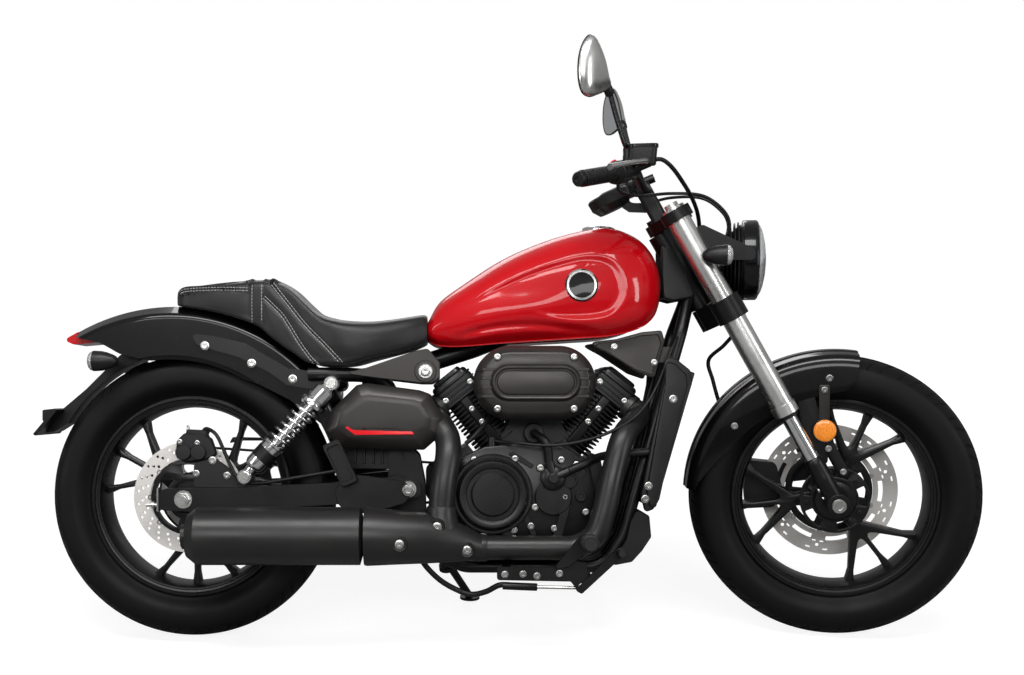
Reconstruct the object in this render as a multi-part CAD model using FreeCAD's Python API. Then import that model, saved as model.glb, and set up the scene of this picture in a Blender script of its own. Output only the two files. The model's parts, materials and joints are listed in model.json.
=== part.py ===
"""Cruiser motorcycle with a V-twin engine, leaning on its side stand.

Every piece is modelled on the upright motorcycle with its steering straight: X forward from the rear axle,
Y to the rider's left, Z up from the floor, in millimetres. Steered pieces are then turned to the side and
the whole motorcycle is leaned onto its stand.
"""

import FreeCAD, Part

import math
import os

# Stance
WHEELBASE = 1420.0
RAKE = 29.2
FORK_OFFSET = 50.0
STEER_TO_RIGHT = 13.0
LEAN_TO_LEFT = 9.0

# Wheels
FRONT_TYRE_RADIUS = 313.0
FRONT_TYRE_WIDTH = 126.0
TYRE_CROWN_DROP = 24.0
TYRE_SHOULDER = 7.0
TYRE_WALL = 12.0
TREAD_RUNS = 6
BEAD_GAP = 0.2
REAR_TYRE_RADIUS = 313.0
REAR_TYRE_WIDTH = 150.0
RIM_EDGE_RADIUS = 220.0
RIM_SEAT_RADIUS = 206.0
RIM_INNER_RADIUS = 194.0
FRONT_RIM_WIDTH = 92.0
REAR_RIM_WIDTH = 112.0
SPOKE_SPREAD = 26.0
ARM_WIDTH = 21.0
SPOKE_WIDTH = 9.0
ARM_SPLIT_RADIUS = 109.0
RUNNING_CLEARANCE = 0.05
AXLE_RADIUS = 8.5

# Brakes
FRONT_DISC_RADIUS = 150.0
FRONT_DISC_Y = 62.0
REAR_DISC_RADIUS = 120.0
REAR_DISC_Y = -80.0
DISC_THICKNESS = 4.5
PAD_GAP = 0.6

# Fork and steering
FORK_SPREAD = 104.0
OUTER_TUBE_RADIUS = 25.0
STANCHION_RADIUS = 15.5
FORK_BOTTOM_RADIUS = 20.0
FORK_FOOT_HALF = 22.0
LOWER_CLAMP_ALONG = 455.0
LOWER_CLAMP_HEIGHT = 50.0
UPPER_CLAMP_ALONG = 697.0
UPPER_CLAMP_HEIGHT = 24.0
TUBE_LIP_ALONG = 228.0
STEM_RADIUS = 14.0
HEAD_TUBE_RADIUS = 27.0
BEARING_GAP = 2.0
BAR_RADIUS = 11.1
BAR_END_Y = 372.0
GRIP_RADIUS = 17.0
GRIP_LENGTH = 118.0

# Engine
CRANK_X = 753.0
CRANK_Z = 331.0
CYLINDER_TILT = 38.5
CASE_HALF_WIDTH = 92.0
BARREL_START = 118.0
BARREL_END = 252.0
HEAD_END = 292.0
COVER_END = 316.0
FIN_PITCH = 12.0
FIN_THICKNESS = 3.5
FIN_HALF = 50.0

AIR_BOX_X = 745.0
AIR_BOX_Z = 560.0
AIR_BOX_BACK_Y = -98.0

# Exhaust
HEADER_RADIUS = 21.0
MUFFLER_RADIUS = 60.0
MUFFLER_Y = -200.0
MUFFLER_Z = 242.0
MUFFLER_X = 18.0
OUTLET_RADIUS = 20.0
OUTLET_DEPTH = 70.0

# Rear suspension and drive
PIVOT_X = 478.0
PIVOT_Z = 335.0
ARM_INNER_Y = 112.0
ARM_THICKNESS = 28.0
SHOCK_Y = 134.0
SHOCK_TOP_X = 314.0
SHOCK_TOP_Z = 559.0
SHOCK_FOOT_X = 130.0
SHOCK_FOOT_Z = 361.0
SPRING_RADIUS = 19.0
SPRING_WIRE = 4.2
SPRING_TURNS = 6.0
BELT_Y = 84.0
BELT_WIDTH = 20.0
BELT_THICKNESS = 5.0
REAR_PULLEY_RADIUS = 98.0
FRONT_PULLEY_RADIUS = 38.0
FRONT_PULLEY_X = 565.0
FRONT_PULLEY_Z = 335.0

# Frame tubes
CRADLE_RADIUS = 14.0
BACKBONE_RADIUS = 22.0
RAIL_RADIUS = 12.5
CRADLE_Y = 62.0
CRADLE_Z = 160.0
RAIL_Y = 110.0
RAIL_Z = 580.0
DOWN_TUBE_TOP_X = 1074.0
DOWN_TUBE_TOP_Z = 672.0
DOWN_TUBE_FOOT_X = 945.0
DOWN_TUBE_FOOT_Z = 228.0
PLATE_INNER_Y = 60.0
PLATE_OUTER_Y = 78.0

# Fenders
REAR_FENDER_X = -40.0
REAR_FENDER_Z = 300.0
REAR_FENDER_RADIUS = 430.0
REAR_FENDER_HALF = 88.0
REAR_SKIRT_RADIUS = 307.0
FRONT_FENDER_GAP = 8.0
FRONT_FENDER_HALF = 70.0
FENDER_THICKNESS = 3.5
STRUT_THICKNESS = 9.5

PLATE_ARM_GAP = 8.0
COVER_GAP = 0.5

# Side stand
STAND_PIVOT = (560.0, 100.0, 150.0)
STAND_FOOT_X = 618.0
STAND_FOOT_Y = 252.0
STAND_FOLDED = (-190.0, 30.0, -50.0)

# Radiator
RADIATOR_THICKNESS = 30.0
RADIATOR_HALF = 106.0
SHROUD_THICKNESS = 10.0

# Lights
HEADLIGHT_RADIUS = 88.0
HEADLIGHT_Z = 835.0
HEADLIGHT_X = 1214.0

RIGHT = -1.0
LEFT = 1.0


def vec(x, y, z):
    return FreeCAD.Vector(x, y, z)


RAKE_SIN = math.sin(math.radians(RAKE))
RAKE_COS = math.cos(math.radians(RAKE))
STEER_AXIS = vec(-RAKE_SIN, 0, RAKE_COS)
STEER_AHEAD = vec(RAKE_COS, 0, RAKE_SIN)
FRONT_AXLE = vec(WHEELBASE, 0, FRONT_TYRE_RADIUS)
REAR_AXLE = vec(0, 0, REAR_TYRE_RADIUS)
STEER_FOOT = FRONT_AXLE - STEER_AHEAD * FORK_OFFSET


def fork_point(along, ahead, y=0.0):
    """A point by its place along the steering axis, ahead of that axis and to the left."""
    return STEER_FOOT + STEER_AXIS * along + STEER_AHEAD * ahead + vec(0, y, 0)


def rod(start, end, radius):
    """A round bar between two points."""
    run = end - start
    return Part.makeCylinder(radius, run.Length, start, run)


def sleeve(start, end, radius, bore):
    """A round bar with a bore right through."""
    return rod(start, end, radius).cut(rod(start, end, bore))


def rounded_wire(points, radius, closed=True):
    """Straight runs through the points, joined by tangent arcs no larger than the runs allow."""
    count = len(points)
    corners = []
    for index, corner in enumerate(points):
        if not closed and index in (0, count - 1):
            corners.append((corner, corner, None))
            continue
        before = points[index - 1] - corner
        after = points[(index + 1) % count] - corner
        half = before.getAngle(after) / 2.0
        if radius <= 0 or half > math.radians(89):
            corners.append((corner, corner, None))
            continue
        reach = min(radius / math.tan(half), 0.48 * before.Length, 0.48 * after.Length)
        arc_radius = reach * math.tan(half)
        before = before.normalize()
        after = after.normalize()
        inward = (before + after).normalize()
        middle = corner + inward * (arc_radius / math.sin(half) - arc_radius)
        corners.append((corner + before * reach, corner + after * reach, middle))
    edges = []
    for index, (start, end, middle) in enumerate(corners):
        if middle is not None:
            edges.append(Part.Arc(start, middle, end).toShape())
        if closed or index < count - 1:
            following = corners[(index + 1) % count][0]
            if (following - end).Length > 1e-6:
                edges.append(Part.makeLine(end, following))
    return Part.Wire(edges)


def tube(points, radius, bend=60.0):
    """A bent round tube along straight runs with rounded bends."""
    path = rounded_wire(points, bend, closed=False)
    section = Part.Wire(Part.makeCircle(radius, points[0], points[1] - points[0]))
    return path.makePipeShell([section], True, False)


def slab(outline, y_start, y_end, corner=0.0):
    """A flat piece with an outline in X and Z, from one Y to another."""
    wire = rounded_wire([vec(x, y_start, z) for x, z in outline], corner)
    return Part.Face(wire).extrude(vec(0, y_end - y_start, 0))


def crosswise(x, z, y_start, y_end, radius):
    """A round bar along Y."""
    return rod(vec(x, y_start, z), vec(x, y_end, z), radius)


def turned(profile, centre, axis, corner=0.0):
    """A profile of (radius, height) turned about an axis through the centre."""
    up = FreeCAD.Vector(axis).normalize()
    side = up.cross(vec(0, 1, 0)) if abs(up.y) < 0.9 else up.cross(vec(1, 0, 0))
    side = side.normalize()
    points = [centre + side * r + up * h for r, h in profile]
    return Part.Face(rounded_wire(points, corner)).revolve(centre, up, 360)


def spline_wire(points):
    """A closed smooth curve through the points."""
    curve = Part.BSplineCurve()
    curve.interpolate(Points=points, PeriodicFlag=True)
    return Part.Wire(curve.toShape())


def loft(wires, ruled=False):
    return Part.makeLoft(wires, True, ruled)


def fused(first, *others):
    """The pieces as one solid, without the seams between them."""
    return first.fuse(list(others)).removeSplitter() if others else first


def mirrored(shape):
    """The same piece for the other side."""
    return shape.mirror(vec(0, 0, 0), vec(0, 1, 0))


def both_sides(shape):
    return Part.makeCompound([shape, mirrored(shape)])


def polar(centre, radius, degrees, y=0.0):
    """A point round a wheel centre, counted from straight ahead and up."""
    angle = math.radians(degrees)
    return vec(centre.x + radius * math.cos(angle), y, centre.z + radius * math.sin(angle))


def spoke(centre, start, end, start_width, end_width, y_start, y_end):
    """A tapered bar in the wheel's plane between two places given as (radius, degrees)."""
    a = polar(centre, start[0], start[1])
    b = polar(centre, end[0], end[1])
    run = (b - a).normalize()
    across = vec(-run.z, 0, run.x)
    corners = [a + across * start_width / 2, b + across * end_width / 2]
    corners += [b - across * end_width / 2, a - across * start_width / 2]
    return slab([(p.x, p.z) for p in corners], y_start, y_end)


def rim(centre, width):
    """The rim's barrel with its flanges and drop centre."""
    half = width / 2
    profile = [
        (RIM_EDGE_RADIUS, -half),
        (RIM_EDGE_RADIUS, -half + 5),
        (RIM_SEAT_RADIUS, -half + 9),
        (RIM_SEAT_RADIUS - 2, -half + 26),
        (RIM_INNER_RADIUS + 5, -16),
        (RIM_INNER_RADIUS + 5, 16),
        (RIM_SEAT_RADIUS - 2, half - 26),
        (RIM_SEAT_RADIUS, half - 9),
        (RIM_EDGE_RADIUS, half - 5),
        (RIM_EDGE_RADIUS, half),
        (RIM_SEAT_RADIUS - 4, half),
        (RIM_INNER_RADIUS, 20),
        (RIM_INNER_RADIUS, -20),
        (RIM_SEAT_RADIUS - 4, -half),
    ]
    return turned(profile, centre, vec(0, 1, 0))


def cast_wheel(centre, width, arm_angles, hub_radius, hub_start, hub_end):
    """A cast wheel: three arms that each part into three spokes, a bored hub and the rim."""
    pieces = [rim(centre, width)]
    pieces.append(crosswise(centre.x, centre.z, hub_start, hub_end, hub_radius))
    reach = RIM_INNER_RADIUS + 3
    for angle in arm_angles:
        pieces.append(spoke(centre, (hub_radius - 8, angle), (ARM_SPLIT_RADIUS, angle), ARM_WIDTH + 8,
                            ARM_WIDTH, -19, 19))
        for turn in (-SPOKE_SPREAD, 0.0, SPOKE_SPREAD):
            pieces.append(spoke(centre, (ARM_SPLIT_RADIUS - 9, angle), (reach, angle + turn),
                                SPOKE_WIDTH + 2, SPOKE_WIDTH, -15, 15))
    wheel = fused(*pieces)
    return wheel.cut(crosswise(centre.x, centre.z, hub_start - 1, hub_end + 1, AXLE_RADIUS + RUNNING_CLEARANCE))


def tread_line(radius, width):
    """The tread's points from one shoulder to the other, as (radius, y)."""
    half = width / 2 - TYRE_SHOULDER
    crown = (half ** 2 + TYRE_CROWN_DROP ** 2) / (2 * TYRE_CROWN_DROP)
    reach = math.asin(half / crown)
    angles = [reach * (1 - 2 * step / TREAD_RUNS) for step in range(TREAD_RUNS + 1)]
    return [(radius - crown + crown * math.cos(a), crown * math.sin(a)) for a in angles]


def tyre(centre, radius, width, rim_width):
    """A hollow tyre whose beads sit on the rim. Its section has few faces, because its tread is fine work."""
    half = width / 2
    seat = RIM_SEAT_RADIUS + BEAD_GAP
    bead = rim_width / 2 - 9.3
    flank = (radius + RIM_SEAT_RADIUS) / 2
    right = [(flank, -half), (seat + TYRE_WALL, -bead - 1), (seat, -bead), (seat, TYRE_WALL - bead),
             (flank, TYRE_WALL - half)]
    left = [(r, -y) for r, y in reversed(right)]
    section = tread_line(radius, width) + right + [(radius - TYRE_WALL - 2, 0)] + left
    return turned(section, centre, vec(0, 1, 0))


def brake_disc(centre, y, radius, slots):
    """A brake disc with a carrier ring, drilled with holes all round."""
    low = y - DISC_THICKNESS / 2
    high = y + DISC_THICKNESS / 2
    disc = crosswise(centre.x, centre.z, low, high, radius)
    disc = disc.cut(crosswise(centre.x, centre.z, low, high, AXLE_RADIUS + 22))
    windows = []
    for index in range(slots):
        angle = 360.0 * index / slots
        spot = polar(centre, radius - 52, angle)
        windows.append(crosswise(spot.x, spot.z, low, high, 13))
    return disc.cut(windows)


def front_wheel_pieces():
    rim_width = FRONT_RIM_WIDTH
    wheel = cast_wheel(FRONT_AXLE, rim_width, (-52, 68, 188), 48, -62, FRONT_DISC_Y - DISC_THICKNESS / 2)
    plate = crosswise(FRONT_AXLE.x, FRONT_AXLE.z, -56, -50, 74)
    plate = plate.cut([crosswise(polar(FRONT_AXLE, 56, a).x, polar(FRONT_AXLE, 56, a).z, -57, -49, 8)
                       for a in range(20, 380, 72)])
    plate = plate.cut(crosswise(FRONT_AXLE.x, FRONT_AXLE.z, -57, -49, 40))
    ribs = [spoke(FRONT_AXLE, (44, a), (74, a), 18, 14, -51, -15) for a in (-52, 68, 188)]
    return {
        "front_rim": fused(wheel, plate, *ribs),
        "front_tyre": tyre(FRONT_AXLE, FRONT_TYRE_RADIUS, FRONT_TYRE_WIDTH, rim_width),
        "front_disc": brake_disc(FRONT_AXLE, FRONT_DISC_Y, FRONT_DISC_RADIUS, 9),
    }


def rear_wheel_pieces():
    rim_width = REAR_RIM_WIDTH
    wheel = cast_wheel(REAR_AXLE, rim_width, (31, 151, 271), 52, REAR_DISC_Y + DISC_THICKNESS / 2, BELT_Y - 2)
    pulley = crosswise(REAR_AXLE.x, REAR_AXLE.z, BELT_Y - 2, BELT_Y + BELT_WIDTH, REAR_PULLEY_RADIUS)
    pulley = pulley.cut(crosswise(REAR_AXLE.x, REAR_AXLE.z, BELT_Y + 8, BELT_Y + BELT_WIDTH,
                                  REAR_PULLEY_RADIUS - 12))
    windows = [crosswise(polar(REAR_AXLE, 66, a).x, polar(REAR_AXLE, 66, a).z, BELT_Y - 2, BELT_Y + 8, 15)
               for a in range(0, 360, 60)]
    pulley = pulley.cut(windows + [crosswise(0, REAR_AXLE.z, BELT_Y - 3, BELT_Y + 9,
                                             AXLE_RADIUS + RUNNING_CLEARANCE)])
    return {
        "rear_rim": wheel,
        "rear_tyre": tyre(REAR_AXLE, REAR_TYRE_RADIUS, REAR_TYRE_WIDTH, rim_width),
        "rear_disc": brake_disc(REAR_AXLE, REAR_DISC_Y, REAR_DISC_RADIUS, 8),
        "rear_pulley": pulley,
    }


def drive_belt():
    """The toothed belt's closed loop round both pulleys."""
    front = vec(FRONT_PULLEY_X, 0, FRONT_PULLEY_Z)

    def loop(grow):
        small = FRONT_PULLEY_RADIUS + grow
        large = REAR_PULLEY_RADIUS + grow
        run = front - REAR_AXLE
        tilt = math.atan2(run.z, run.x)
        spread = math.acos((large - small) / run.Length)
        edges = []
        up, down = tilt + spread, tilt - spread

        def spot(centre, radius, angle):
            return vec(centre.x + radius * math.cos(angle), BELT_Y, centre.z + radius * math.sin(angle))

        edges.append(Part.makeLine(spot(REAR_AXLE, large, up), spot(front, small, up)))
        edges.append(Part.Arc(spot(front, small, up), spot(front, small, tilt), spot(front, small, down)).toShape())
        edges.append(Part.makeLine(spot(front, small, down), spot(REAR_AXLE, large, down)))
        edges.append(Part.Arc(spot(REAR_AXLE, large, down), spot(REAR_AXLE, large, tilt + math.pi),
                              spot(REAR_AXLE, large, up)).toShape())
        return Part.Face(Part.Wire(edges))

    ring = loop(PAD_GAP + BELT_THICKNESS).cut(loop(PAD_GAP))
    return ring.extrude(vec(0, BELT_WIDTH, 0))


def shock_foot_bolt(grow=0.0):
    """The shank of the lower shock bolt."""
    return crosswise(SHOCK_FOOT_X, SHOCK_FOOT_Z, RIGHT * ARM_INNER_Y, RIGHT * (SHOCK_Y + 20), 6 + grow)


def swingarm():
    """Two box arms from the pivot to the axle, joined by a cross tube ahead of the tyre."""
    inner, outer = RIGHT * ARM_INNER_Y, RIGHT * (ARM_INNER_Y + ARM_THICKNESS)
    outline = [
        (-52, REAR_TYRE_RADIUS - 24), (-52, REAR_TYRE_RADIUS + 22), (100, REAR_TYRE_RADIUS + 24),
        (PIVOT_X - 140, PIVOT_Z + 14), (PIVOT_X - 20, PIVOT_Z + 26), (PIVOT_X + 26, PIVOT_Z + 12),
        (PIVOT_X + 26, PIVOT_Z - 14), (PIVOT_X - 20, PIVOT_Z - 28), (PIVOT_X - 140, PIVOT_Z - 32),
        (60, REAR_TYRE_RADIUS - 26),
    ]
    arm = slab(outline, inner, outer, 14)
    ears = slab([(SHOCK_FOOT_X - 24, REAR_TYRE_RADIUS + 18), (SHOCK_FOOT_X - 14, SHOCK_FOOT_Z + 14),
                 (SHOCK_FOOT_X + 14, SHOCK_FOOT_Z + 14), (SHOCK_FOOT_X + 24, REAR_TYRE_RADIUS + 18)],
                inner, RIGHT * (SHOCK_Y - 14), 8)
    side = fused(arm, ears).cut(shock_foot_bolt())
    cross = crosswise(PIVOT_X - 108, PIVOT_Z - 6, -ARM_INNER_Y - 1, ARM_INNER_Y + 1, 19)
    body = fused(side, mirrored(side), cross)
    bore = crosswise(0, REAR_TYRE_RADIUS, -200, 200, AXLE_RADIUS)
    return body.cut([bore, crosswise(PIVOT_X, PIVOT_Z, -200, 200, 10)])


def rear_axle():
    """The axle with its nut, washers and the spacers beside the hub."""
    reach = ARM_INNER_Y + ARM_THICKNESS
    z = REAR_TYRE_RADIUS
    bar = crosswise(0, z, -reach - 16, reach + 10, AXLE_RADIUS)
    nut = Part.Face(hexagon(vec(0, -reach, z), 14)).extrude(vec(0, -12, 0))
    head = Part.Face(hexagon(vec(0, reach, z), 14)).extrude(vec(0, 9, 0))
    right_spacer = crosswise(0, z, -ARM_INNER_Y, REAR_DISC_Y - DISC_THICKNESS / 2 - PAD_GAP, 15)
    left_spacer = crosswise(0, z, BELT_Y + 8 + PAD_GAP, ARM_INNER_Y, 15)
    return fused(bar, nut, head, right_spacer, left_spacer)


def hexagon(centre, radius):
    """A hexagon across Y for a nut or bolt head."""
    points = [vec(centre.x + radius * math.cos(math.radians(a)), centre.y,
                  centre.z + radius * math.sin(math.radians(a))) for a in range(0, 360, 60)]
    return Part.makePolygon(points + [points[0]])


def cradle_tube(side):
    """One tube from the neck down, under the engine and up to the seat."""
    neck_low = LOWER_CLAMP_ALONG + LOWER_CLAMP_HEIGHT + BEARING_GAP
    return tube([
        fork_point(neck_low + 46, -2, side * 8), vec(DOWN_TUBE_TOP_X, side * 50, DOWN_TUBE_TOP_Z),
        vec(DOWN_TUBE_FOOT_X, side * CRADLE_Y, DOWN_TUBE_FOOT_Z), vec(900, side * CRADLE_Y, CRADLE_Z),
        vec(600, side * CRADLE_Y, CRADLE_Z), vec(522, side * CRADLE_Y, 190), vec(486, side * CRADLE_Y, 300),
        vec(452, side * 66, 480), vec(425, side * 88, RAIL_Z - 6), vec(350, side * RAIL_Y, RAIL_Z),
        vec(262, side * RAIL_Y, RAIL_Z),
    ], CRADLE_RADIUS, 60)


def frame():
    """The tube frame: neck, backbone, cradle, seat rails and pivot plates."""
    neck_low = LOWER_CLAMP_ALONG + LOWER_CLAMP_HEIGHT + BEARING_GAP
    neck_high = UPPER_CLAMP_ALONG - BEARING_GAP
    pieces = [rod(fork_point(neck_low, 0), fork_point(neck_high, 0), HEAD_TUBE_RADIUS)]
    pieces.append(tube([fork_point(572, -8), vec(800, 0, 712), vec(620, 0, 640), vec(500, 0, 602)],
                       BACKBONE_RADIUS, 160))
    for side in (RIGHT, LEFT):
        pieces.append(cradle_tube(side))
        pieces.append(tube([vec(505, 0, 604), vec(470, side * 70, 588), vec(380, side * (RAIL_Y - 4), RAIL_Z)],
                           RAIL_RADIUS, 40))
        pieces.append(slab([(452, 205), (430, 330), (436, 420), (462, 440), (500, 400), (512, 340), (516, 215)],
                           side * PLATE_INNER_Y, side * PLATE_OUTER_Y, 16))
        pieces.append(slab([(SHOCK_TOP_X - 14, SHOCK_TOP_Z - 8), (SHOCK_TOP_X + 14, SHOCK_TOP_Z - 8),
                            (SHOCK_TOP_X + 18, RAIL_Z), (SHOCK_TOP_X - 18, RAIL_Z)],
                           side * (RAIL_Y - 6), side * (RAIL_Y + 6), 4))
        pieces.append(crosswise(SHOCK_TOP_X, SHOCK_TOP_Z, side * RAIL_Y, side * (SHOCK_Y - 12), 12))
        pieces.append(rod(vec(SHOCK_TOP_X, side * (SHOCK_Y - 16), SHOCK_TOP_Z),
                          vec(SHOCK_TOP_X, side * (SHOCK_Y + 16), SHOCK_TOP_Z), 7))
    pieces.append(stand_bracket())
    pieces.append(crosswise(484, 300, -CRADLE_Y, CRADLE_Y, 12))
    pieces.append(crosswise(425, RAIL_Z - 8, -86, 86, 11))
    body = fused(*pieces)
    stem_bore = rod(fork_point(neck_low - 5, 0), fork_point(neck_high + 5, 0), STEM_RADIUS + RUNNING_CLEARANCE)
    return body.cut([stem_bore, crosswise(PIVOT_X, PIVOT_Z, -200, 200, 10), stand_bolt(RUNNING_CLEARANCE)])


def pivot_bolt():
    """The swingarm's pivot bolt with its heads and the spacers beside the plates."""
    reach = ARM_INNER_Y + ARM_THICKNESS
    bolt = crosswise(PIVOT_X, PIVOT_Z, -reach, reach, 10)
    heads = [crosswise(PIVOT_X, PIVOT_Z, -reach - 9, -reach, 17), crosswise(PIVOT_X, PIVOT_Z, reach, reach + 9, 17)]
    gaps = [crosswise(PIVOT_X, PIVOT_Z, side * PLATE_OUTER_Y, side * ARM_INNER_Y, 15) for side in (RIGHT, LEFT)]
    return fused(bolt, *heads, *gaps)


def along_cylinder(front, distance, across):
    """A point on a cylinder's middle plane: distance from the crank, across the bore outwards."""
    sign = 1.0 if front else -1.0
    sin, cos = math.sin(math.radians(CYLINDER_TILT)), math.cos(math.radians(CYLINDER_TILT))
    return vec(CRANK_X + sign * (distance * sin + across * cos), 0, CRANK_Z + distance * cos - across * sin)


def cylinder_block(front, start, end, half, half_y, corner):
    """A rounded block square to the bore between two distances from the crank."""
    base = along_cylinder(front, start, 0)
    top = along_cylinder(front, end, 0)
    side = (along_cylinder(front, start, 1) - base)
    points = [base + side * sx * half + vec(0, sy * half_y, 0) for sx, sy in ((1, 1), (-1, 1), (-1, -1), (1, -1))]
    return Part.Face(rounded_wire(points, corner)).extrude(top - base)


def finned_cylinder(front):
    """A barrel and head with cooling fins."""
    core = cylinder_block(front, BARREL_START, HEAD_END, FIN_HALF - 12, 50, 30)
    fins = []
    place = BARREL_START + 14
    while place < HEAD_END - 4:
        fins.append(cylinder_block(front, place, place + FIN_THICKNESS, FIN_HALF, 62, 22))
        place += FIN_PITCH
    return fused(core, *fins)


def head_cover(front):
    """The cover over a cylinder's rocker gear, with a raised lid."""
    lid = cylinder_block(front, HEAD_END, COVER_END - 8, FIN_HALF - 4, 60, 20)
    crown = cylinder_block(front, COVER_END - 8, COVER_END, FIN_HALF - 14, 46, 14)
    return fused(lid, crown)


def crankcase():
    """The crankcase with its sump and cylinder decks."""
    outline = [(548, 300), (556, 395), (610, 430), (672, 440), (753, 418), (834, 440), (892, 400), (905, 330),
               (898, 240), (850, 186), (650, 178), (575, 210)]
    case = slab(outline, -CASE_HALF_WIDTH, CASE_HALF_WIDTH, 26)
    decks = [cylinder_block(front, 60, BARREL_START, FIN_HALF - 6, 60, 20) for front in (True, False)]
    rooms = [cylinder_block(front, BARREL_START, COVER_END, FIN_HALF + 6, CASE_HALF_WIDTH + 8, 4)
             for front in (True, False)]
    output = crosswise(FRONT_PULLEY_X, FRONT_PULLEY_Z, 60, BELT_Y + BELT_WIDTH, FRONT_PULLEY_RADIUS)
    well = crosswise(FRONT_PULLEY_X, FRONT_PULLEY_Z, BELT_Y - 4, CASE_HALF_WIDTH + 5, FRONT_PULLEY_RADIUS + 12)
    strip = slab([(500, FRONT_PULLEY_Z - 62), (500, FRONT_PULLEY_Z + 62), (FRONT_PULLEY_X, FRONT_PULLEY_Z + 50),
                  (FRONT_PULLEY_X, FRONT_PULLEY_Z - 50)], BELT_Y - 4, CASE_HALF_WIDTH + 5)
    return fused(fused(case, *decks).cut([well, strip] + rooms), output)


def clutch_cover():
    """The right engine cover with the round clutch lid."""
    inner = -CASE_HALF_WIDTH
    outline = [(572, 300), (574, 392), (640, 424), (720, 432), (800, 428), (862, 396), (878, 330), (872, 262),
               (820, 204), (660, 200), (592, 232)]
    base = slab(outline, inner, inner - 30, 30)
    step = crosswise(657, 323, inner - 30, inner - 42, 78)
    ring = crosswise(657, 323, inner - 42, inner - 50, 67)
    face = crosswise(657, 323, inner - 50, inner - 57, 54)
    crank = crosswise(CRANK_X + 24, CRANK_Z - 10, inner - 30, inner - 40, 46)
    pump = crosswise(797, 350, inner - 30, inner - 52, 26)
    decks = [cylinder_block(front, BARREL_START, COVER_END, FIN_HALF + 6, 200, 4) for front in (True, False)]
    return fused(base, step, ring, face, crank, pump).cut(decks)


def generator_cover():
    """The left engine covers: generator and drive pulley."""
    inner = CASE_HALF_WIDTH
    base = crosswise(CRANK_X + 10, CRANK_Z, inner, inner + 26, 92)
    lid = crosswise(CRANK_X + 10, CRANK_Z, inner + 26, inner + 38, 70)
    return fused(base, lid)


def pulley_cover():
    """The cover outboard of the front pulley, carried by the crankcase."""
    lid_y = BELT_Y + BELT_WIDTH + 3
    outline = [(512, 300), (512, 372), (560, 398), (640, 398), (668, 372), (655, 300), (600, 270), (540, 270)]
    lid = slab(outline, lid_y, lid_y + 6, 22)
    posts = [crosswise(x, z, CASE_HALF_WIDTH, lid_y, 7) for x, z in ((640, 380), (636, 300))]
    return fused(lid, *posts)


def air_box():
    """The oval air box on the right of the engine, with its bevelled lid."""
    def oval(width, height, y):
        half, r = width / 2 - height / 2, height / 2
        cx, cz = AIR_BOX_X, AIR_BOX_Z
        edges = [
            Part.makeLine(vec(cx - half, y, cz + r), vec(cx + half, y, cz + r)),
            Part.Arc(vec(cx + half, y, cz + r), vec(cx + half + r, y, cz), vec(cx + half, y, cz - r)).toShape(),
            Part.makeLine(vec(cx + half, y, cz - r), vec(cx - half, y, cz - r)),
            Part.Arc(vec(cx - half, y, cz - r), vec(cx - half - r, y, cz), vec(cx - half, y, cz + r)).toShape(),
        ]
        return Part.Wire(edges)

    shell = loft([oval(236, 136, AIR_BOX_BACK_Y), oval(258, 157, AIR_BOX_BACK_Y - 24)], True)
    rim_part = Part.Face(oval(258, 157, AIR_BOX_BACK_Y - 24)).extrude(vec(0, -46, 0))
    bevel = loft([oval(258, 157, AIR_BOX_BACK_Y - 70), oval(240, 140, AIR_BOX_BACK_Y - 84)], True)
    pad = Part.Face(oval(186, 68, AIR_BOX_BACK_Y - 84)).extrude(vec(0, -8, 0))
    return fused(shell, rim_part, bevel, pad)


def throttle_body():
    """The intake between the cylinders: throttle body and manifolds."""
    barrel = crosswise(AIR_BOX_X, 520, AIR_BOX_BACK_Y, 34, 28)
    manifold = rod(vec(AIR_BOX_X - 110, 0, 512), vec(AIR_BOX_X + 126, 0, 512), 19)
    blocks = [cylinder_block(front, BARREL_START, COVER_END, FIN_HALF, 62, 22) for front in (True, False)]
    return fused(barrel, manifold).cut(blocks)


def header(front):
    """One exhaust header pipe from its port to the collector."""
    port = along_cylinder(front, 268, FIN_HALF + 0.2) + vec(0, -38, 0)
    if front:
        route = [along_cylinder(front, 268, FIN_HALF + 30) + vec(0, -38, 0), vec(932, -122, 424),
                 vec(906, -152, 330), vec(880, -152, 212), vec(632, -156, 212)]
    else:
        route = [along_cylinder(front, 268, FIN_HALF + 26) + vec(0, -38, 0), vec(540, -92, 482),
                 vec(580, -101, 462), vec(577, -146, 420), vec(560, -157, 334), vec(554, -158, 286)]
    return tube([port] + route, HEADER_RADIUS, 50 if front else 26)


def headers():
    """The two exhaust header pipes."""
    return Part.makeCompound([header(True), header(False)])


def collector():
    """The exhaust's collector box between the headers and the silencer, with its sockets."""
    outline = [(388, 298), (462, 291), (500, 287), (530, 290), (585, 290), (634, 246), (634, 190), (545, 181),
               (388, 181)]
    box = slab(outline, -137, -198, 14)
    collar = rod(vec(556, -158, 280), vec(558, -157.6, 304), HEADER_RADIUS + 4)
    mouth = rod(vec(620, -156, 212), vec(646, -156, 212), HEADER_RADIUS + 3)
    return fused(box, collar, mouth).cut([header(True), header(False)])


def muffler():
    """The silencer with its rounded tail, blanked front and open outlet pipe."""
    r = MUFFLER_RADIUS
    lip = OUTLET_RADIUS + 4
    profile = [(OUTLET_RADIUS, -8), (lip, -8), (lip, 4), (r - 16, 4), (r, 24), (r, 362), (r - 28, 370), (0, 370),
               (0, OUTLET_DEPTH), (OUTLET_RADIUS, OUTLET_DEPTH)]
    return turned(profile, vec(MUFFLER_X, MUFFLER_Y, MUFFLER_Z), vec(1, 0, 0))


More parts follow.
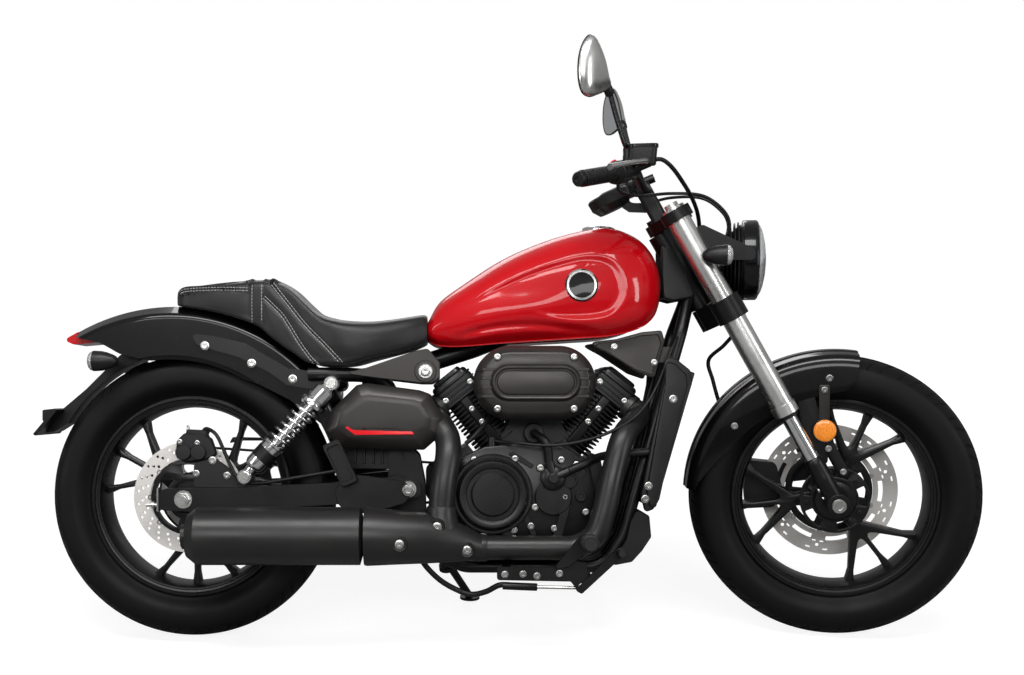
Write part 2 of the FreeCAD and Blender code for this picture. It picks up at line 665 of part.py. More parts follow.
def tank_section(x, top, bottom, half):
    """One cross-section of the fuel tank."""
    height = top - bottom
    points = [
        vec(x, 0, top), vec(x, half * 0.50, top - height * 0.05), vec(x, half * 0.86, top - height * 0.24),
        vec(x, half, top - height * 0.55), vec(x, half * 0.93, top - height * 0.85), vec(x, half * 0.72, bottom),
        vec(x, 0, bottom + 6), vec(x, -half * 0.72, bottom), vec(x, -half * 0.93, top - height * 0.85),
        vec(x, -half, top - height * 0.55), vec(x, -half * 0.86, top - height * 0.24),
        vec(x, -half * 0.50, top - height * 0.05),
    ]
    return spline_wire(points)


TANK_STATIONS = (
    (520, 700, 655, 78), (545, 742, 643, 92), (600, 783, 642, 112), (680, 834, 648, 130), (760, 870, 653, 142),
    (840, 895, 658, 148), (915, 906, 664, 144), (975, 886, 680, 126), (1010, 853, 706, 96), (1028, 815, 742, 56),
)


def fuel_tank():
    """The teardrop tank with a recessed band round a raised side pad."""
    wires = [tank_section(*station) for station in TANK_STATIONS]
    body = loft(wires)
    inner = loft([tank_section(x, top, bottom, half - 5) for x, top, bottom, half in TANK_STATIONS])
    outer_line = [(577, 716), (690, 785), (800, 832), (880, 834), (921, 806), (936, 768), (905, 715), (840, 696),
                  (780, 700), (700, 712)]
    inner_line = [(720, 790), (800, 817), (862, 818), (900, 800), (919, 766), (904, 730), (863, 711), (790, 710)]
    band = slab(outer_line, -170, 170, 28).cut(slab(inner_line, -171, 171, 24))
    recess = band.cut(inner)
    tunnel = slab([(500, 560), (500, 640), (620, 676), (800, 748), (1120, 816), (1120, 560)], -34, 34)
    return body.cut([recess, tunnel])


def seat_section(x, top, bottom, half):
    height = top - bottom
    points = [
        vec(x, 0, top), vec(x, half * 0.62, top - 3), vec(x, half * 0.93, top - min(16, height * 0.3)),
        vec(x, half, top - height * 0.55), vec(x, half * 0.97, bottom + 2), vec(x, 0, bottom),
        vec(x, -half * 0.97, bottom + 2), vec(x, -half, top - height * 0.55),
        vec(x, -half * 0.93, top - min(16, height * 0.3)), vec(x, -half * 0.62, top - 3),
    ]
    return spline_wire(points)


SEAT_STATIONS = (
    (-30, 762, 738, 52), (-5, 776, 728, 78), (60, 783, 716, 92), (150, 790, 682, 102), (205, 779, 640, 110),
    (250, 748, 610, 122), (300, 708, 600, 138), (360, 695, 606, 148), (430, 699, 624, 132), (517, 712, 650, 92),
)


def seat(frame_shape, tank):
    """The one-piece saddle with its raised pillion pad, arched over the rear fender and frame."""
    body = loft([seat_section(*station) for station in SEAT_STATIONS])
    arch = fender_solid(vec(REAR_FENDER_X, 0, REAR_FENDER_Z), REAR_FENDER_RADIUS, REAR_SKIRT_RADIUS,
                        REAR_FENDER_HALF, (10, 150))
    return body.cut([arch, tank, frame_shape])


def fender_solid(centre, crown, edge, half, span):
    """The space under a fender's outer face, turned about its centre between two angles."""
    first, last = span
    profile = [(edge, half), (crown - 20, half), (crown, half * 0.45), (crown, -half * 0.45), (crown - 20, -half),
               (edge, -half)]
    points = [polar(centre, r, first, y) for r, y in profile]
    face = Part.Face(rounded_wire(points, 14))
    return face.revolve(centre, vec(0, 1, 0), -(last - first))


def fender_shell(centre, crown, edge, half, span):
    """An arched fender of even thickness, open below and at both ends."""
    outer = fender_solid(centre, crown, edge, half, span)
    inner = fender_solid(centre, crown - FENDER_THICKNESS, edge - 20, half - FENDER_THICKNESS,
                         (span[0] - 2, span[1] + 2))
    return outer.cut(inner)


def rear_fender():
    """The rear mudguard, its skirt cut to a curve that rises to the tail."""
    centre = vec(REAR_FENDER_X, 0, REAR_FENDER_Z)
    shell = fender_shell(centre, REAR_FENDER_RADIUS, REAR_SKIRT_RADIUS, REAR_FENDER_HALF, (22, 120))
    tail_cut = slab([(-60, 500), (-60, 606), (-100, 612), (-150, 624), (-192, 648), (-262, 664), (-400, 664),
                     (-400, 500)], -120, 120, 30)
    front_cut = slab([(60, 420), (60, 588), (155, 557), (220, 524), (290, 470), (330, 400)], -120, 120, 20)
    return shell.cut([tail_cut, front_cut])


def front_fender():
    """The front mudguard with stays to the fork bottoms."""
    crown = FRONT_TYRE_RADIUS + FRONT_FENDER_GAP + FENDER_THICKNESS
    half = FRONT_FENDER_HALF
    shell = fender_shell(FRONT_AXLE, crown, crown - 34, half, (82, 176))
    stays = []
    for side in (RIGHT, LEFT):
        plate = slab([(1262, 545), (1330, 590), (1400, 592), (1404, 470), (1408, 412), (1384, 386), (1354, 412),
                      (1330, 500), (1268, 500)], side * (half - FENDER_THICKNESS), side * half, 14)
        outside = crosswise(FRONT_AXLE.x, FRONT_AXLE.z, -200, 200, crown - 22)
        boss = crosswise(1380, 403, side * half, side * (FORK_SPREAD - 10), 8)
        stays.append(fused(plate.common(outside), boss))
    return fused(shell, *stays).cut([fork_slider(), mirrored(fork_slider())])


def fender_strut(frame_shape):
    """One stay along the rear fender's side, which carries it from the frame."""
    outline = [(6, 668), (56, 662), (120, 648), (190, 608), (215, 592), (256, 588), (332, 588), (332, 562),
               (262, 548), (215, 556), (176, 584), (112, 616), (48, 634), (20, 644)]
    outer = REAR_FENDER_HALF + STRUT_THICKNESS
    strut = slab(outline, RIGHT * REAR_FENDER_HALF, RIGHT * outer, 12)
    return strut.cut(frame_shape)


def shock():
    """One shock absorber, without its spring."""
    top = vec(SHOCK_TOP_X, RIGHT * SHOCK_Y, SHOCK_TOP_Z)
    foot = vec(SHOCK_FOOT_X, RIGHT * SHOCK_Y, SHOCK_FOOT_Z)
    run = (foot - top).normalize()
    length = (foot - top).Length
    eye_top = crosswise(top.x, top.z, -SHOCK_Y - 12, -SHOCK_Y + 12, 14)
    eye_foot = crosswise(foot.x, foot.z, -SHOCK_Y - 14, -SHOCK_Y + 14, 14)
    head = rod(top + run * 13, top + run * 64, 17)
    collar = rod(top + run * 46, top + run * 58, 23)
    body = rod(top + run * 58, top + run * (length - 10), 11)
    cup = rod(top + run * (length - 96), top + run * (length - 25), 22)
    bored = fused(eye_top, eye_foot, head, collar, body, cup)
    return bored.cut([crosswise(top.x, top.z, -200, 0, 7), crosswise(foot.x, foot.z, -200, 0, 6)])


def shock_spring():
    """The exposed coils of one shock's spring."""
    top = vec(SHOCK_TOP_X, RIGHT * SHOCK_Y, SHOCK_TOP_Z)
    foot = vec(SHOCK_FOOT_X, RIGHT * SHOCK_Y, SHOCK_FOOT_Z)
    run = (foot - top).normalize()
    margin = 2 * SPRING_WIRE
    start = top + run * (58 + margin)
    span = (foot - top).Length - 96 - 58 - 2 * margin
    helix = Part.makeHelix(span / SPRING_TURNS, span, SPRING_RADIUS)
    points = [vec(SPRING_RADIUS + SPRING_WIRE * math.cos(math.radians(a)), 0,
                  SPRING_WIRE * math.sin(math.radians(a))) for a in range(0, 360, 60)]
    section = Part.makePolygon(points + [points[0]])
    coil = Part.Wire(helix).makePipeShell([section], True, True)
    coil.Placement = FreeCAD.Placement(start, FreeCAD.Rotation(vec(0, 0, 1), run))
    return coil


def shock_bolt():
    """One lower shock bolt through the swingarm's ears."""
    head = crosswise(SHOCK_FOOT_X, SHOCK_FOOT_Z, RIGHT * (SHOCK_Y + 14), RIGHT * (SHOCK_Y + 21), 11)
    return fused(shock_foot_bolt(), head)


def triple_clamps():
    """Both fork clamps on the steering stem."""
    lower_mid = LOWER_CLAMP_ALONG + LOWER_CLAMP_HEIGHT / 2
    stem = rod(fork_point(LOWER_CLAMP_ALONG + 4, 0), fork_point(UPPER_CLAMP_ALONG + UPPER_CLAMP_HEIGHT + 10, 0),
               STEM_RADIUS)
    pieces = [stem]
    for start, height, radius in ((LOWER_CLAMP_ALONG, LOWER_CLAMP_HEIGHT, 34), (UPPER_CLAMP_ALONG,
                                                                               UPPER_CLAMP_HEIGHT, 34)):
        middle = [fork_point(start, a, y) for a, y in ((-15, -22), (-15, 22), (FORK_OFFSET - 22, 74),
                                                       (FORK_OFFSET - 10, 106), (FORK_OFFSET + 24, 96),
                                                       (FORK_OFFSET + 6, 30), (FORK_OFFSET + 6, -30),
                                                       (FORK_OFFSET + 24, -96), (FORK_OFFSET - 10, -106),
                                                       (FORK_OFFSET - 22, -74))]
        pieces.append(Part.Face(rounded_wire(middle, 18)).extrude(STEER_AXIS * height))
        pieces.append(rod(fork_point(start, 0), fork_point(start + height, 0), STEM_RADIUS + 8))
        for side in (RIGHT, LEFT):
            y = side * FORK_SPREAD
            pieces.append(rod(fork_point(start, FORK_OFFSET, y), fork_point(start + height, FORK_OFFSET, y), radius))
    body = fused(*pieces)
    bores = [rod(fork_point(LOWER_CLAMP_ALONG - 5, FORK_OFFSET, side * FORK_SPREAD),
                 fork_point(UPPER_CLAMP_ALONG + UPPER_CLAMP_HEIGHT + 5, FORK_OFFSET, side * FORK_SPREAD),
                 OUTER_TUBE_RADIUS) for side in (RIGHT, LEFT)]
    return body.cut(bores)


def fork_tube():
    """One fork outer tube with its cap and dust lip."""
    y = RIGHT * FORK_SPREAD
    top = UPPER_CLAMP_ALONG + UPPER_CLAMP_HEIGHT
    shell = rod(fork_point(TUBE_LIP_ALONG, FORK_OFFSET, y), fork_point(top + 6, FORK_OFFSET, y), OUTER_TUBE_RADIUS)
    lip = rod(fork_point(TUBE_LIP_ALONG - 6, FORK_OFFSET, y), fork_point(TUBE_LIP_ALONG + 16, FORK_OFFSET, y),
              OUTER_TUBE_RADIUS + 2.5)
    cap = rod(fork_point(top + 6, FORK_OFFSET, y), fork_point(top + 16, FORK_OFFSET, y), 15)
    bore = rod(fork_point(TUBE_LIP_ALONG - 7, FORK_OFFSET, y), fork_point(TUBE_LIP_ALONG + 120, FORK_OFFSET, y),
               STANCHION_RADIUS)
    return fused(shell, lip, cap).cut(bore)


def fork_slider():
    """One fork inner tube with the bottom casting that holds the axle."""
    y = RIGHT * FORK_SPREAD
    inner = rod(fork_point(90, FORK_OFFSET, y), fork_point(TUBE_LIP_ALONG + 118, FORK_OFFSET, y), STANCHION_RADIUS)
    casting = rod(fork_point(-8, FORK_OFFSET, y), fork_point(112, FORK_OFFSET, y), FORK_BOTTOM_RADIUS)
    foot = crosswise(FRONT_AXLE.x, FRONT_AXLE.z, y - FORK_FOOT_HALF, y + FORK_FOOT_HALF, 24)
    return fused(inner, casting, foot).cut(crosswise(FRONT_AXLE.x, FRONT_AXLE.z, y - 30, y + 30, AXLE_RADIUS))


def front_axle():
    """The front axle with its end caps and hub spacers."""
    z = FRONT_AXLE.z
    x = FRONT_AXLE.x
    reach = FORK_SPREAD + FORK_FOOT_HALF
    near = FORK_SPREAD - FORK_FOOT_HALF
    bar = crosswise(x, z, -reach - 6, reach + 6, AXLE_RADIUS)
    caps = [crosswise(x, z, -reach - 8, -reach, 13), crosswise(x, z, reach, reach + 8, 13)]
    spacers = [crosswise(x, z, -near, -62 - PAD_GAP, 14),
               crosswise(x, z, FRONT_DISC_Y + DISC_THICKNESS / 2 + PAD_GAP, near, 14)]
    return fused(bar, *caps, *spacers)


def handlebar():
    """The bent handlebar on its riser."""
    half = [fork_point(792, 22, 0), fork_point(792, 22, -48), fork_point(800, 16, -110), bar_inner(RIGHT),
            bar_outer(RIGHT)]
    points = [vec(p.x, -p.y, p.z) for p in reversed(half)] + half[1:]
    bar = tube(points, BAR_RADIUS, 45)
    top = UPPER_CLAMP_ALONG + UPPER_CLAMP_HEIGHT
    risers = []
    for side in (RIGHT, LEFT):
        post = [fork_point(top, a, side * 34 + w) for a, w in ((-2, -15), (34, -15), (34, 15), (-2, 15))]
        risers.append(Part.Face(rounded_wire(post, 8)).extrude(STEER_AXIS * 86))
    return fused(bar, *risers)


def bar_outer(side):
    """The handlebar's end on one side."""
    return vec(893, side * BAR_END_Y, 996)


def bar_inner(side):
    """The handlebar's bend inboard of the grip and controls."""
    return vec(989, side * 210, 1023)


def bar_direction(side):
    inner, outer = bar_inner(side), bar_outer(side)
    return inner, outer, (outer - inner).normalize()


def grip(side):
    """One rubber grip with its end weight."""
    inner, outer, run = bar_direction(side)
    start = outer - run * GRIP_LENGTH
    body = sleeve(start, outer, GRIP_RADIUS, BAR_RADIUS)
    flange = sleeve(start, start + run * 6, GRIP_RADIUS + 6, BAR_RADIUS)
    end = rod(outer, outer + run * 14, GRIP_RADIUS - 2)
    return fused(body, flange, end)


def switch_housing(side):
    """The switch housing inboard of a grip."""
    inner, outer, run = bar_direction(side)
    start = outer - run * (GRIP_LENGTH + 32)
    return sleeve(start, outer - run * (GRIP_LENGTH + 0.5), 24, BAR_RADIUS)


def headlight():
    """The round headlight with its finned shell and lens."""
    centre = vec(HEADLIGHT_X, 0, HEADLIGHT_Z)
    profile = [(0, -46), (46, -44), (76, -14), (80, 0), (HEADLIGHT_RADIUS, 4), (HEADLIGHT_RADIUS, 34), (80, 38),
               (60, 47), (0, 54)]
    return turned(profile, centre, vec(1, 0, 0))


def headlight_bracket():
    """The bracket from the fork tubes to the headlight."""
    pieces = []
    for side in (RIGHT, LEFT):
        pieces.append(slab([(1106, 902), (1130, 912), (1240, 858), (1240, 836), (1158, 836), (1146, 858)],
                           side * 94, side * 100, 8))
        pieces.append(crosswise(1222, 848, side * 84, side * 101, 10))
    cross = crosswise(1152, 888, -98, 98, 6)
    return fused(*pieces, cross).cut([headlight(), fork_tube(), mirrored(fork_tube())])


def turn_signal(x, y, z, forward, stalk_end):
    """A bullet turn signal on a stalk; forward is the way its lens looks."""
    body = turned([(0, -38), (12, -30), (21, -4), (22, 16), (20, 24), (0, 27)], vec(x, y, z), vec(forward, 0, 0))
    return fused(body, crosswise(x, z, y - math.copysign(18, y), math.copysign(stalk_end, y), 6))


def front_turn_signals():
    return Part.makeCompound([turn_signal(1166, side * 150, 846, 1.0, 100.0) for side in (RIGHT, LEFT)])


def rear_turn_signals():
    return Part.makeCompound([turn_signal(-178, side * 135, 607, -1.0, 30.0) for side in (RIGHT, LEFT)])


def tail_light(fender):
    """The red lamp at the fender's end."""
    lamp = slab([(-284, 656), (-252, 674), (-214, 664), (-214, 650), (-262, 646)], -46, 46, 8)
    return lamp.cut(fender)


def plate_bracket():
    """The arm below the fender's tail with the bare number-plate holder and its lamp."""
    centre = vec(REAR_FENDER_X, 0, REAR_FENDER_Z)
    arm = slab([(-84, 612), (-120, 640), (-163, 624), (-239, 548), (-291, 504), (-313, 476), (-338, 450),
                (-308, 454), (-278, 473), (-206, 520), (-130, 570)], -30, 30, 10)
    holder = slab([(-292, 506), (-286, 503), (-333, 446), (-339, 450)], -84, 84, 2)
    reflector = slab([(-338, 502), (-300, 506), (-304, 478), (-338, 476)], -24, 24, 4)
    hanger = slab([(-150, 612), (-84, 612), (-70, 760), (-136, 760)], -30, 30, 6)
    inside = crosswise(centre.x, centre.z, -40, 40, REAR_FENDER_RADIUS - FENDER_THICKNESS)
    tyre_room = crosswise(0, REAR_TYRE_RADIUS, -60, 60, REAR_TYRE_RADIUS + PLATE_ARM_GAP)
    return fused(arm, holder, reflector, hanger.common(inside)).cut(tyre_room)


def mirror(side):
    """One rear-view mirror on its bent stem."""
    inner, outer, run = bar_direction(side)
    base = outer - run * (GRIP_LENGTH + 47)
    stem = tube([base + vec(0, 0, 20), vec(966, side * 250, 1090), vec(940, side * 296, 1150),
                 vec(924, side * 332, 1196)], 5.5, 30)
    socket = rod(base + vec(0, 0, 20), base + vec(-2, 0, 52), 10)
    head_centre = vec(912, side * 348, 1212)
    shell = turned([(0, -9), (34, -8), (52, -2), (55, 5), (53, 9), (0, 9)], head_centre,
                   vec(-0.94, -side * 0.30, 0.10))
    return fused(stem, socket, shell).cut(hand_lever(side))


def instrument():
    """The round instrument on its bracket behind the handlebar."""
    centre = vec(926, 0, 972)
    body = turned([(0, -26), (34, -24), (46, -8), (48, 12), (44, 16), (0, 16)], centre, vec(-0.42, 0, 0.9))
    bracket = slab([(950, 958), (968, 966), (1040, 956), (1040, 942), (968, 946)], -19, 19, 4)
    return fused(body, bracket)


def hand_lever(side):
    """A brake or clutch lever in its perch, with the brake fluid reservoir on the right."""
    inner, outer, run = bar_direction(side)
    start = outer - run * (GRIP_LENGTH + 60)
    perch = sleeve(start, start + run * 26, 20, BAR_RADIUS)
    ahead = vec(0.86, 0, 0.35).normalize()
    middle = start + run * 13
    block = rod(middle + ahead * 16, middle + ahead * 46, 11)
    lever = tube([middle + ahead * 40, start + run * 50 + ahead * 58,
                  outer - run * 60 + ahead * 62, outer - run * 4 + ahead * 56], 6, 20)
    pieces = [perch, block, lever]
    if side == RIGHT:
        low = middle + vec(22, 0, 10)
        corners = [low + vec(x, y, 0) for x, y in ((-24, -22), (34, -22), (34, 24), (-24, 24))]
        pieces.append(Part.Face(rounded_wire(corners, 8)).extrude(vec(3, 0, 42)))
    return fused(*pieces).cut([handlebar(), switch_housing(side)])


def beside_down_tube(along, ahead):
    """A point on the middle plane: up the down tube from its foot, ahead of the tube's axis."""
    run = vec(DOWN_TUBE_TOP_X - DOWN_TUBE_FOOT_X, 0, DOWN_TUBE_TOP_Z - DOWN_TUBE_FOOT_Z).normalize()
    point = vec(DOWN_TUBE_FOOT_X, 0, DOWN_TUBE_FOOT_Z) + run * along + vec(run.z, 0, -run.x) * ahead
    return point.x, point.z


def radiator():
    """The radiator ahead of the engine, leaning with the down tubes."""
    near, far = CRADLE_RADIUS + 0.3, CRADLE_RADIUS + RADIATOR_THICKNESS
    outline = [beside_down_tube(a, b) for a, b in ((80, near), (80, far), (382, far), (382, near))]
    return slab(outline, -RADIATOR_HALF, RADIATOR_HALF, 4)


def radiator_shroud():
    """One radiator side guard."""
    outline = [(1065, 610), (1086, 572), (1082, 545), (1000, 280), (975, 283), (1028, 520)]
    return slab(outline, RIGHT * RADIATOR_HALF, RIGHT * (RADIATOR_HALF + SHROUD_THICKNESS), 8)


def neck_cover(frame_shape, tank):
    """One cover over the frame's neck under the tank."""
    outline = [(867, 655), (930, 664), (985, 686), (1030, 681), (1035, 653), (1013, 571), (975, 584), (910, 627)]
    cover = slab(outline, RIGHT * 66, RIGHT * 74, 8)
    post = crosswise(1046, 620, RIGHT * 40, RIGHT * 66, 6)
    foot = slab([(1000, 600), (1000, 640), (1052, 640), (1052, 600)], RIGHT * 62, RIGHT * 66, 4)
    lowered = tank.copy()
    lowered.translate(vec(0, 0, -COVER_GAP))
    return fused(cover, post, foot).cut([tank, lowered, frame_shape])


def side_cover(frame_shape):
    """One side cover below the seat, with its raised middle and mounting posts."""
    outline = [(300, 455), (312, 502), (367, 556), (390, 560), (502, 545), (524, 537), (551, 485), (545, 447),
               (511, 417), (331, 424)]
    base = slab(outline, RIGHT * 119, RIGHT * 127, 14)
    inner = [(318, 462), (328, 500), (374, 543), (500, 530), (534, 482), (526, 450), (508, 432), (336, 438)]
    posts = [crosswise(x, z, RIGHT * 62, RIGHT * 119, 7) for x, z in ((462, 430), (446, 505))]
    return fused(base, slab(inner, RIGHT * 127, RIGHT * 132, 10), *posts).cut(frame_shape)


def seat_side_plate(frame_shape, saddle):
    """One plate between the seat and the side cover, carried by the seat rail."""
    outline = [(342, 584), (385, 590), (496, 628), (519, 634), (545, 599), (545, 571), (528, 564), (502, 563),
               (417, 571)]
    inner = RIGHT * (RAIL_Y + CRADLE_RADIUS)
    post = crosswise(470, 590, RIGHT * 74, inner, 7)
    return fused(slab(outline, inner, inner - 8, 10), post).cut([frame_shape, saddle])


def foot_control(frame_shape):
    """One forward foot peg and its bracket."""
    plate = slab([(672, 173), (860, 190), (872, 160), (854, 122), (837, 122), (700, 140)], RIGHT * 178,
                 RIGHT * 186, 10)
    stay = crosswise(850, CRADLE_Z, RIGHT * CRADLE_Y, RIGHT * 178, 10)
    stay_back = crosswise(690, CRADLE_Z, RIGHT * CRADLE_Y, RIGHT * 178, 9)
    peg = rod(vec(848, RIGHT * 186, 196), vec(842, RIGHT * 330, 240), 15)
    hanger = slab([(836, 150), (862, 150), (866, 205), (838, 205)], RIGHT * 178, RIGHT * 190, 8)
    return fused(plate, stay, stay_back, peg, hanger).cut(frame_shape)


def stand_leg():
    """The stand's pivot, its leg down to the floor and the axis it folds about."""
    pivot = vec(*STAND_PIVOT)
    leg = floor_point(STAND_FOOT_X, STAND_FOOT_Y) - pivot
    axis = leg.cross(vec(*STAND_FOLDED)).normalize()
    return pivot, leg, axis


def stand_bolt(grow=0.0):
    """The stand's pivot bolt, square to the lug."""
    pivot, leg, axis = stand_leg()
    return rod(pivot - axis * 26, pivot + axis * 7, 7 + grow)


def stand_bracket():
    """The frame's lug that carries the side stand."""
    pivot, leg, axis = stand_leg()
    lug = rod(pivot - axis * 22, pivot - axis * 9.8, 19)
    web = rod(pivot - axis * 16, vec(pivot.x, CRADLE_Y, CRADLE_Z), 9)
    return fused(lug, web).cut(rod(pivot - axis * 9.8, pivot + axis * 40, 60))


def side_stand():
    """The side stand's leg, foot and pivot bolt."""
    pivot, leg, axis = stand_leg()
    up = floor_normal()
    foot = pivot + leg
    run = vec(leg.x, leg.y, leg.z).normalize()
    shank = rod(pivot + run * 12, foot + up * 5 - run * 2, 9)
    pad = rod(foot, foot + up * 6, 24)
    lug = rod(pivot - axis * 9.5, pivot + axis * 9.5, 16)
    head = rod(pivot + axis * 9.5, pivot + axis * 15, 12)
    return fused(shank, pad, lug, head, stand_bolt())


def rear_brake_caliper():
    """The rear caliper over the disc, on a bracket from the swingarm."""
    outer, inner = REAR_DISC_Y - 22, REAR_DISC_Y + 14
    z = REAR_TYRE_RADIUS
    body = slab([(-26, z + 88), (-22, z + 128), (8, z + 144), (46, z + 126), (64, z + 92), (20, z + 74)], inner,
                outer, 12)
    bracket = slab([(22, z + 4), (22, z + 80), (62, z + 88), (114, z + 48), (114, z + 4)], outer,
                   RIGHT * ARM_INNER_Y, 10)
    gap = DISC_THICKNESS / 2 + PAD_GAP
    slot = crosswise(0, z, REAR_DISC_Y - gap, REAR_DISC_Y + gap, REAR_DISC_RADIUS + 5)
    return fused(body, bracket).cut(slot)


def front_brake_caliper():
    """The front caliper behind the left fork leg, over its disc."""
    x, z = FRONT_AXLE.x, FRONT_AXLE.z
    face = FORK_SPREAD - FORK_BOTTOM_RADIUS
    body = slab([(x - 210, z - 48), (x - 210, z + 70), (x - 118, z + 62), (x - 104, z + 10), (x - 118, z - 40)],
                FRONT_DISC_Y - 15, face, 14)
    body = body.common(crosswise(x, z, 0, 200, RIM_INNER_RADIUS - 6))
    lug = slab([(x - 140, z + 4), (x - 140, z + 56), (x - 46, z + 58), (x - 30, z + 20)], face, face + 9, 8)
    gap = DISC_THICKNESS / 2 + PAD_GAP
    slot = crosswise(x, z, FRONT_DISC_Y - gap, FRONT_DISC_Y + gap, FRONT_DISC_RADIUS + 5)
    return fused(body, lug).cut([slot, mirrored(fork_slider())])


def belt_guard():
    """The guard over the drive belt's upper run, carried by the swingarm."""
    low, high = BELT_Y - 2, RIGHT * RIGHT * ARM_INNER_Y
    top = slab([(58, 424), (66, 438), (150, 436), (470, 396), (470, 390), (150, 430), (90, 430)], low, high, 2)
    side = slab([(196, 330), (196, 430), (232, 425), (232, 330)], BELT_Y + BELT_WIDTH + 3, high, 2)
    return fused(top, side)


def pillion_peg(exhaust):
    """One folded pillion foot peg on its bracket."""
    reach = ARM_INNER_Y + ARM_THICKNESS + 9
    bracket = slab([(330, 304), (322, 332), (350, 366), (390, 364), (470, 352), (492, 334), (470, 306),
                    (400, 286), (350, 284)], RIGHT * reach, RIGHT * (reach + 8), 14)
    knuckle = crosswise(358, 362, RIGHT * (reach + 6), RIGHT * (reach + 30), 12)
    peg = rod(vec(360, RIGHT * (reach + 26), 366), vec(306, RIGHT * (reach + 34), 440), 13)
    return fused(bracket, knuckle, peg).cut(exhaust)


def build_chassis():
    body = frame()
    tank = fuel_tank()
    saddle = seat(body, tank)
    fender = rear_fender()
    silencer = muffler()
    box = collector()
    return {
        "frame": body,
        "swingarm": swingarm(),
        "suspension_bolts": Part.makeCompound([pivot_bolt(), shock_bolt(), mirrored(shock_bolt())]),
        "rear_axle": rear_axle(),
        "crankcase": crankcase(),
        "clutch_cover": clutch_cover(),
        "left_engine_covers": Part.makeCompound([generator_cover(), pulley_cover()]),
        "cylinders": Part.makeCompound([finned_cylinder(True), finned_cylinder(False)]),
        "head_covers": Part.makeCompound([head_cover(True), head_cover(False)]),
        "throttle_body": throttle_body(),
        "air_box": air_box(),
        "exhaust_headers": headers(),
        "exhaust_collector": box,
        "muffler": silencer,
        "fuel_tank": tank,
        "seat": saddle,
        "side_panels": Part.makeCompound([both_sides(side_cover(body)), both_sides(seat_side_plate(body, saddle)),
                                          both_sides(neck_cover(body, tank))]),
        "radiator": radiator(),
        "radiator_shrouds": both_sides(radiator_shroud()),
        "rear_fender": fender,
        "fender_struts": both_sides(fender_strut(body)),
        "tail_light": tail_light(fender),
        "rear_turn_signals": rear_turn_signals(),
        "plate_bracket": plate_bracket(),
        "shock_absorbers": both_sides(shock()),
        "shock_springs": both_sides(shock_spring()),
        "rear_brake_caliper": rear_brake_caliper(),
        "drive_belt": drive_belt(),
        "belt_guard": belt_guard(),
        "foot_controls": both_sides(foot_control(body)),
        "pillion_pegs": both_sides(pillion_peg([box, silencer])),
    }


def build_steering():
    return {
        "triple_clamps": triple_clamps(),
        "fork_tubes": both_sides(fork_tube()),
        "fork_sliders": both_sides(fork_slider()),
        "front_axle": front_axle(),
        "handlebar": handlebar(),
        "grips": Part.makeCompound([grip(RIGHT), grip(LEFT)]),
        "switch_housings": Part.makeCompound([switch_housing(RIGHT), switch_housing(LEFT)]),
        "hand_levers": Part.makeCompound([hand_lever(RIGHT), hand_lever(LEFT)]),
        "mirrors": Part.makeCompound([mirror(RIGHT), mirror(LEFT)]),
        "instrument": instrument(),
        "headlight": headlight(),
        "headlight_bracket": headlight_bracket(),
        "front_turn_signals": front_turn_signals(),
        "front_brake_caliper": front_brake_caliper(),
        "front_fender": front_fender(),
    }


def lowest_of_tyre(placement, hub, radius, width):
    """The lowest point of a tyre once it's placed."""
    normal = placement.Rotation.multVec(vec(0, 1, 0))
    place = placement.multVec(hub)
    down = vec(normal.x * normal.z, normal.y * normal.z, normal.z ** 2 - 1).normalize()
    spots = [place + down * r + normal * y for r, y in tread_line(radius, width)]
    return min(spots, key=lambda spot: spot.z)


def stance():
    """The placements of the chassis and of the steered pieces, both tyres on the floor."""
    steering = FreeCAD.Placement(vec(0, 0, 0), FreeCAD.Rotation(STEER_AXIS, -STEER_TO_RIGHT), STEER_FOOT)
    lean = FreeCAD.Rotation(vec(1, 0, 0), -LEAN_TO_LEFT)
    pitch = 0.0
    chassis = FreeCAD.Placement(vec(0, 0, 0), lean)
    for _ in range(4):
        chassis = FreeCAD.Placement(vec(0, 0, 0), FreeCAD.Rotation(vec(0, 1, 0), pitch).multiply(lean))
        rear = lowest_of_tyre(chassis, REAR_AXLE, REAR_TYRE_RADIUS, REAR_TYRE_WIDTH)
        front = lowest_of_tyre(chassis.multiply(steering), FRONT_AXLE, FRONT_TYRE_RADIUS, FRONT_TYRE_WIDTH)
        pitch += math.degrees(math.atan2(front.z - rear.z, front.x - rear.x))
    chassis.Base = vec(-rear.x, -rear.y, -rear.z)
    return steering, chassis


def floor_normal():
    """The floor's upward direction, seen from the upright motorcycle."""
    return stance()[1].Rotation.inverted().multVec(vec(0, 0, 1))


def floor_point(x, y):
    """The floor's point below a place on the upright motorcycle."""
    chassis = stance()[1]
    up = floor_normal()
    return vec(x, y, -(up.x * x + up.y * y + chassis.Base.z) / up.z)


def export(nodes, placement, folder="parts"):
    for name, shape in nodes.items():
        placed = shape.copy()
        placed.Placement = placement.multiply(placed.Placement)
        placed.exportStep(f"{folder}/{name}.step")


def main():
    os.makedirs("parts", exist_ok=True)
    steering, lean = stance()
    export(build_chassis(), lean)
    export(rear_wheel_pieces(), lean)
    export({"side_stand": side_stand()}, lean)
    turned_lean = lean.multiply(steering)
    export(build_steering(), turned_lean)
    export(front_wheel_pieces(), turned_lean)


if __name__ == "__main__":
    main()
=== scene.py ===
"""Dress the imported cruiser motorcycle: finer meshes, finishes, studio and camera.

Every piece is built in millimetres on the upright motorcycle with its steering straight, as its maker would
draw it (X forward from the rear axle, Y to the rider's left, Z up), and is then placed by the frame of its
body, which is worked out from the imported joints.
"""

import json
import logging
import math
from dataclasses import dataclass
from enum import Enum
from typing import Callable, Iterable, Sequence

import bmesh
import bpy
from mathutils import Matrix, Vector

